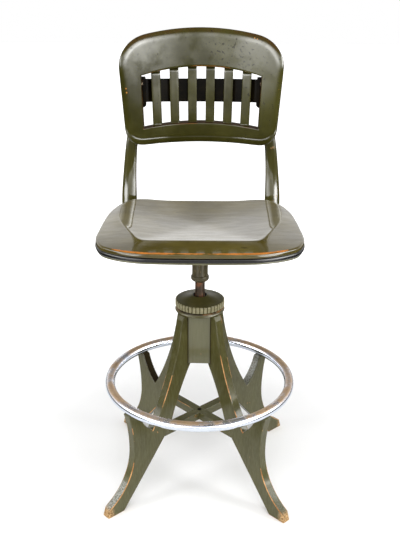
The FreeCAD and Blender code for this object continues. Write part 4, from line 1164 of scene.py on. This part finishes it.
def marks(where, places, radius, ragged):
    """Small marks round points of the board's face, each with an outline that is broken up."""
    found = 0.0
    for point in leaned(at_depth(np.array(places, float), 0.5)) * 0.001:
        ends = {0: where, 1: tuple(point)}
        near = where.finish.node("VectorMath", {"operation": "DISTANCE"}, ends, "Value")
        here = between(radius, radius * 0.6, near + (ragged - 0.5) * radius * 1.6)
        found = larger(here, found)
    return found


def back_enamel():
    finish = Finish("back_enamel")
    where = finish.place()
    worn = finish.worn()
    cloud = speckle(8.0, where, 4.0, 0.6)
    broken = speckle(55.0, where, 5.0, 0.7)
    dents = speckle(22.0, where, 4.0, 0.6)
    rim = between(0.1, 0.9, -worn)
    patchy = between(0.4, 0.6, speckle(14.0, where, 3.0))
    bare = between(0.36, 0.44, worn * patchy * (broken + 0.15))
    chip_places = [(-171, 0), (-170, -9), (-173, -48), (176, 0), (120, 112), (126, 110), (24, 128)]
    chips = marks(where, chip_places, 0.0021, broken)
    pitted = marks(where, [(50, 84), (78, 80), (96, 66)], 0.036, cloud)
    spots = speckle(150.0, where, 3.0) + pitted * 0.06
    spots = between(0.645, 0.68, spots) * between(0.40, 0.52, cloud + pitted * 0.2)
    paint = blended(between(0.3, 0.7, cloud), rgb(46, 44, 13), rgb(66, 64, 28))
    topmost = between(0.96, 1.0, where.axis(2))
    paint = blended(rim * topmost * between(0.2, 0.7, dents), paint, rgb(64, 44, 16))
    in_window = between(1.1, 1.7, -worn)
    colour = blended(bare, paint, rgb(96, 66, 28))
    colour = blended(in_window, colour, rgb(44, 28, 10))
    colour = blended(spots * 0.8, colour, rgb(26, 22, 10))
    colour = blended(chips, colour, rgb(168, 112, 46))
    bump = bumped(0.12, 0.0012, dents - spots * 0.3)
    gloss = 0.25 + between(0.32, 0.62, cloud) * 0.55 + between(0.36, 0.56, dents) * 0.4
    gloss = (gloss - bare * 0.3 - spots * 0.4) * (1.0 - in_window)
    return finish.feed(Base_Color=colour, Roughness=0.12 + bare * 0.25 + spots * 0.3 + in_window * 0.3,
                       Specular_IOR_Level=0.06, Normal=bump, Coat_Weight=gloss, Coat_Roughness=0.07)


back_finish = back_enamel()
piece("back_board", leaned(points), back_faces, "back", ["back_frame"], back_finish,
      back_worn)

slat_width = 20.8
slat_front, slat_rear = 6.0, 14.0
slat_round = 1.6
slat_count = 6
slat_pitch_top, slat_pitch_bottom = 42.3, 40.6
tenon_top, tenon_bottom = 3.0, 1.0
slat_rows = 13
# One section, strung from sill to arch along the same curve as the board
rear_right, rear_left, front_left, front_right = oblong(slat_width / 2, slat_front, slat_rear, slat_round, 4)
between_corners = np.array([0.5, 0.0, -0.5]) * (slat_width / 2 - slat_round)
section = np.concatenate([rear_right, level(between_corners, slat_rear), rear_left,
                          front_left, level(-between_corners, slat_front), front_right])
for index in range(slat_count):
    place = index - (slat_count - 1) / 2
    x_top, x_bottom = place * slat_pitch_top, place * slat_pitch_bottom
    top_drop = (window_top - window_top_end) * (x_top / window_half_top) ** 2
    low_drop = (window_bottom - window_bottom_end) * (x_bottom / window_half_bottom) ** 2
    z_top = window_top - top_drop + tenon_top
    z_low = window_bottom - low_drop - tenon_bottom
    slat_points = []
    for z in np.linspace(z_low, z_top, slat_rows):
        x = x_bottom + (x_top - x_bottom) * (z - window_bottom) / (window_top - window_bottom)
        slat_points.append(at_depth(level(x + section[:, 0], z), section[:, 1]))
    piece("slat_%d" % (index + 1), leaned(np.concatenate(slat_points)), sleeve(slat_rows, len(section)),
          "back", ["back_slat_%d" % (index + 1)], back_finish)

# Floor, light and camera
# A white studio floor with the softest of shadows, a broad light from above and in front, and the
# lens at the photograph's height and distance.

floor_mesh = bpy.data.meshes.new("floor")
floor_mesh.from_pydata([(-6, -4, 0), (6, -4, 0), (6, 8, 0), (-6, 8, 0)], [], [(0, 1, 2, 3)])
floor = placed("floor", floor_mesh)
floor_finish = Finish("floor_white")
seen_directly = floor_finish.ray_is("Camera")
mirrored_in = floor_finish.ray_is("Glossy")
floor_place = floor_finish.place()
distance = floor_finish.node("VectorMath", {"operation": "LENGTH"}, {0: floor_place}, "Value")
far = between(0.35, 1.3, distance)
floor_x = floor_place.axis(0)
floor_y = floor_place.axis(1)
lit_right = between(0.8, 1.2, floor_x) * between(2.7, 2.2, floor_x) * 14.0
lit_left = between(-0.8, -1.2, floor_x) * between(-2.7, -2.2, floor_x) * 10.0
lit = (lit_right + lit_left) * between(-1.2, -1.7, floor_y) * between(-3.0, -2.5, floor_y)
glow = seen_directly * (0.01 + far * 0.7) + mirrored_in * lit
paper = between(1.2, 0.6, abs(floor_x)) * between(-3.8, -1.7, floor_y)
paper = paper * between(1.3, 0.6, floor_y)
dim = mirrored_in * (1.0 - paper)
floor_mesh.materials.append(floor_finish.feed(
    Base_Color=blended(dim, rgb(250, 250, 250), rgb(50, 50, 50)), Roughness=0.9,
    Specular_IOR_Level=0.1, Emission_Color=glow, Emission_Strength=1.0))

world = bpy.data.worlds.new("studio")
bpy.context.scene.world = world
studio = Finish("studio", world, "Background")
direction = studio.node("TexCoord", None, None, "Generated")
rightward = direction.axis(0)
up = direction.axis(2)
aside = abs(rightward)
ramp = {"Value": up, "From Min": -0.01, "From Max": 0.13, "To Min": 0.04, "To Max": 5.7}
panel = studio.node("MapRange", None, ramp) * between(0.30, 0.6, up, 1.0, 0.03)
panel = panel * between(0.15, 0.65, aside, 0.65, 2.3) * between(0.8, 0.95, aside, 1.0, 0.1)
panel = panel * (rightward * 0.3 + 1.0)
softbox = larger(between(0.5, 0.7, rightward, 0.0, 9.0), between(-0.6, -0.8, rightward, 0.0, 5.0))
softbox = softbox * between(0.1, 0.2, up) * between(0.7, 0.5, up)
wall = between(0.15, 0.6, up, 1.3, 0.2)
behind = between(-0.1, 0.3, direction.axis(1))
mirrored_room = (panel + softbox) * (1.0 - behind) + wall * behind
for_mirrors = studio.ray_is("Glossy")
for_camera = studio.ray_is("Camera")
brightness = mirrored_room * for_mirrors + 0.62 * (1.0 - for_mirrors)
studio.feed(Strength=brightness * (1.0 - for_camera) + for_camera, Color=(1, 1, 1, 1))


def lamp(name, place, aim, size, power):
    light = bpy.data.lights.new(name, "AREA")
    light.shape = "RECTANGLE"
    light.size, light.size_y = size
    light.energy = power
    made = placed(name, light)
    made.location = place
    made.rotation_euler = (Vector(aim) - Vector(place)).to_track_quat("-Z", "Y").to_euler()
    made.visible_glossy = False


lamp("overhead", (0.0, -1.4, 2.9), (0, 0, 0.5), (2.4, 2.0), 48.0)
lamp("left_panel", (-2.3, -1.2, 1.5), (0, 0, 0.7), (0.7, 1.8), 26.0)
lamp("right_panel", (2.3, -1.0, 1.6), (0, 0, 0.7), (0.7, 1.8), 30.0)

lens = bpy.data.cameras.new("lens")
lens.sensor_width = 36.0
lens.lens = 55.95
camera = placed("camera", lens)
camera.location = (0.00956, -1.7854, 1.2470)
camera.rotation_euler = tuple(math.radians(a) for a in (67.652, -0.226, 0.400))
bpy.context.scene.camera = camera
bpy.context.scene.view_settings.view_transform = "Standard"
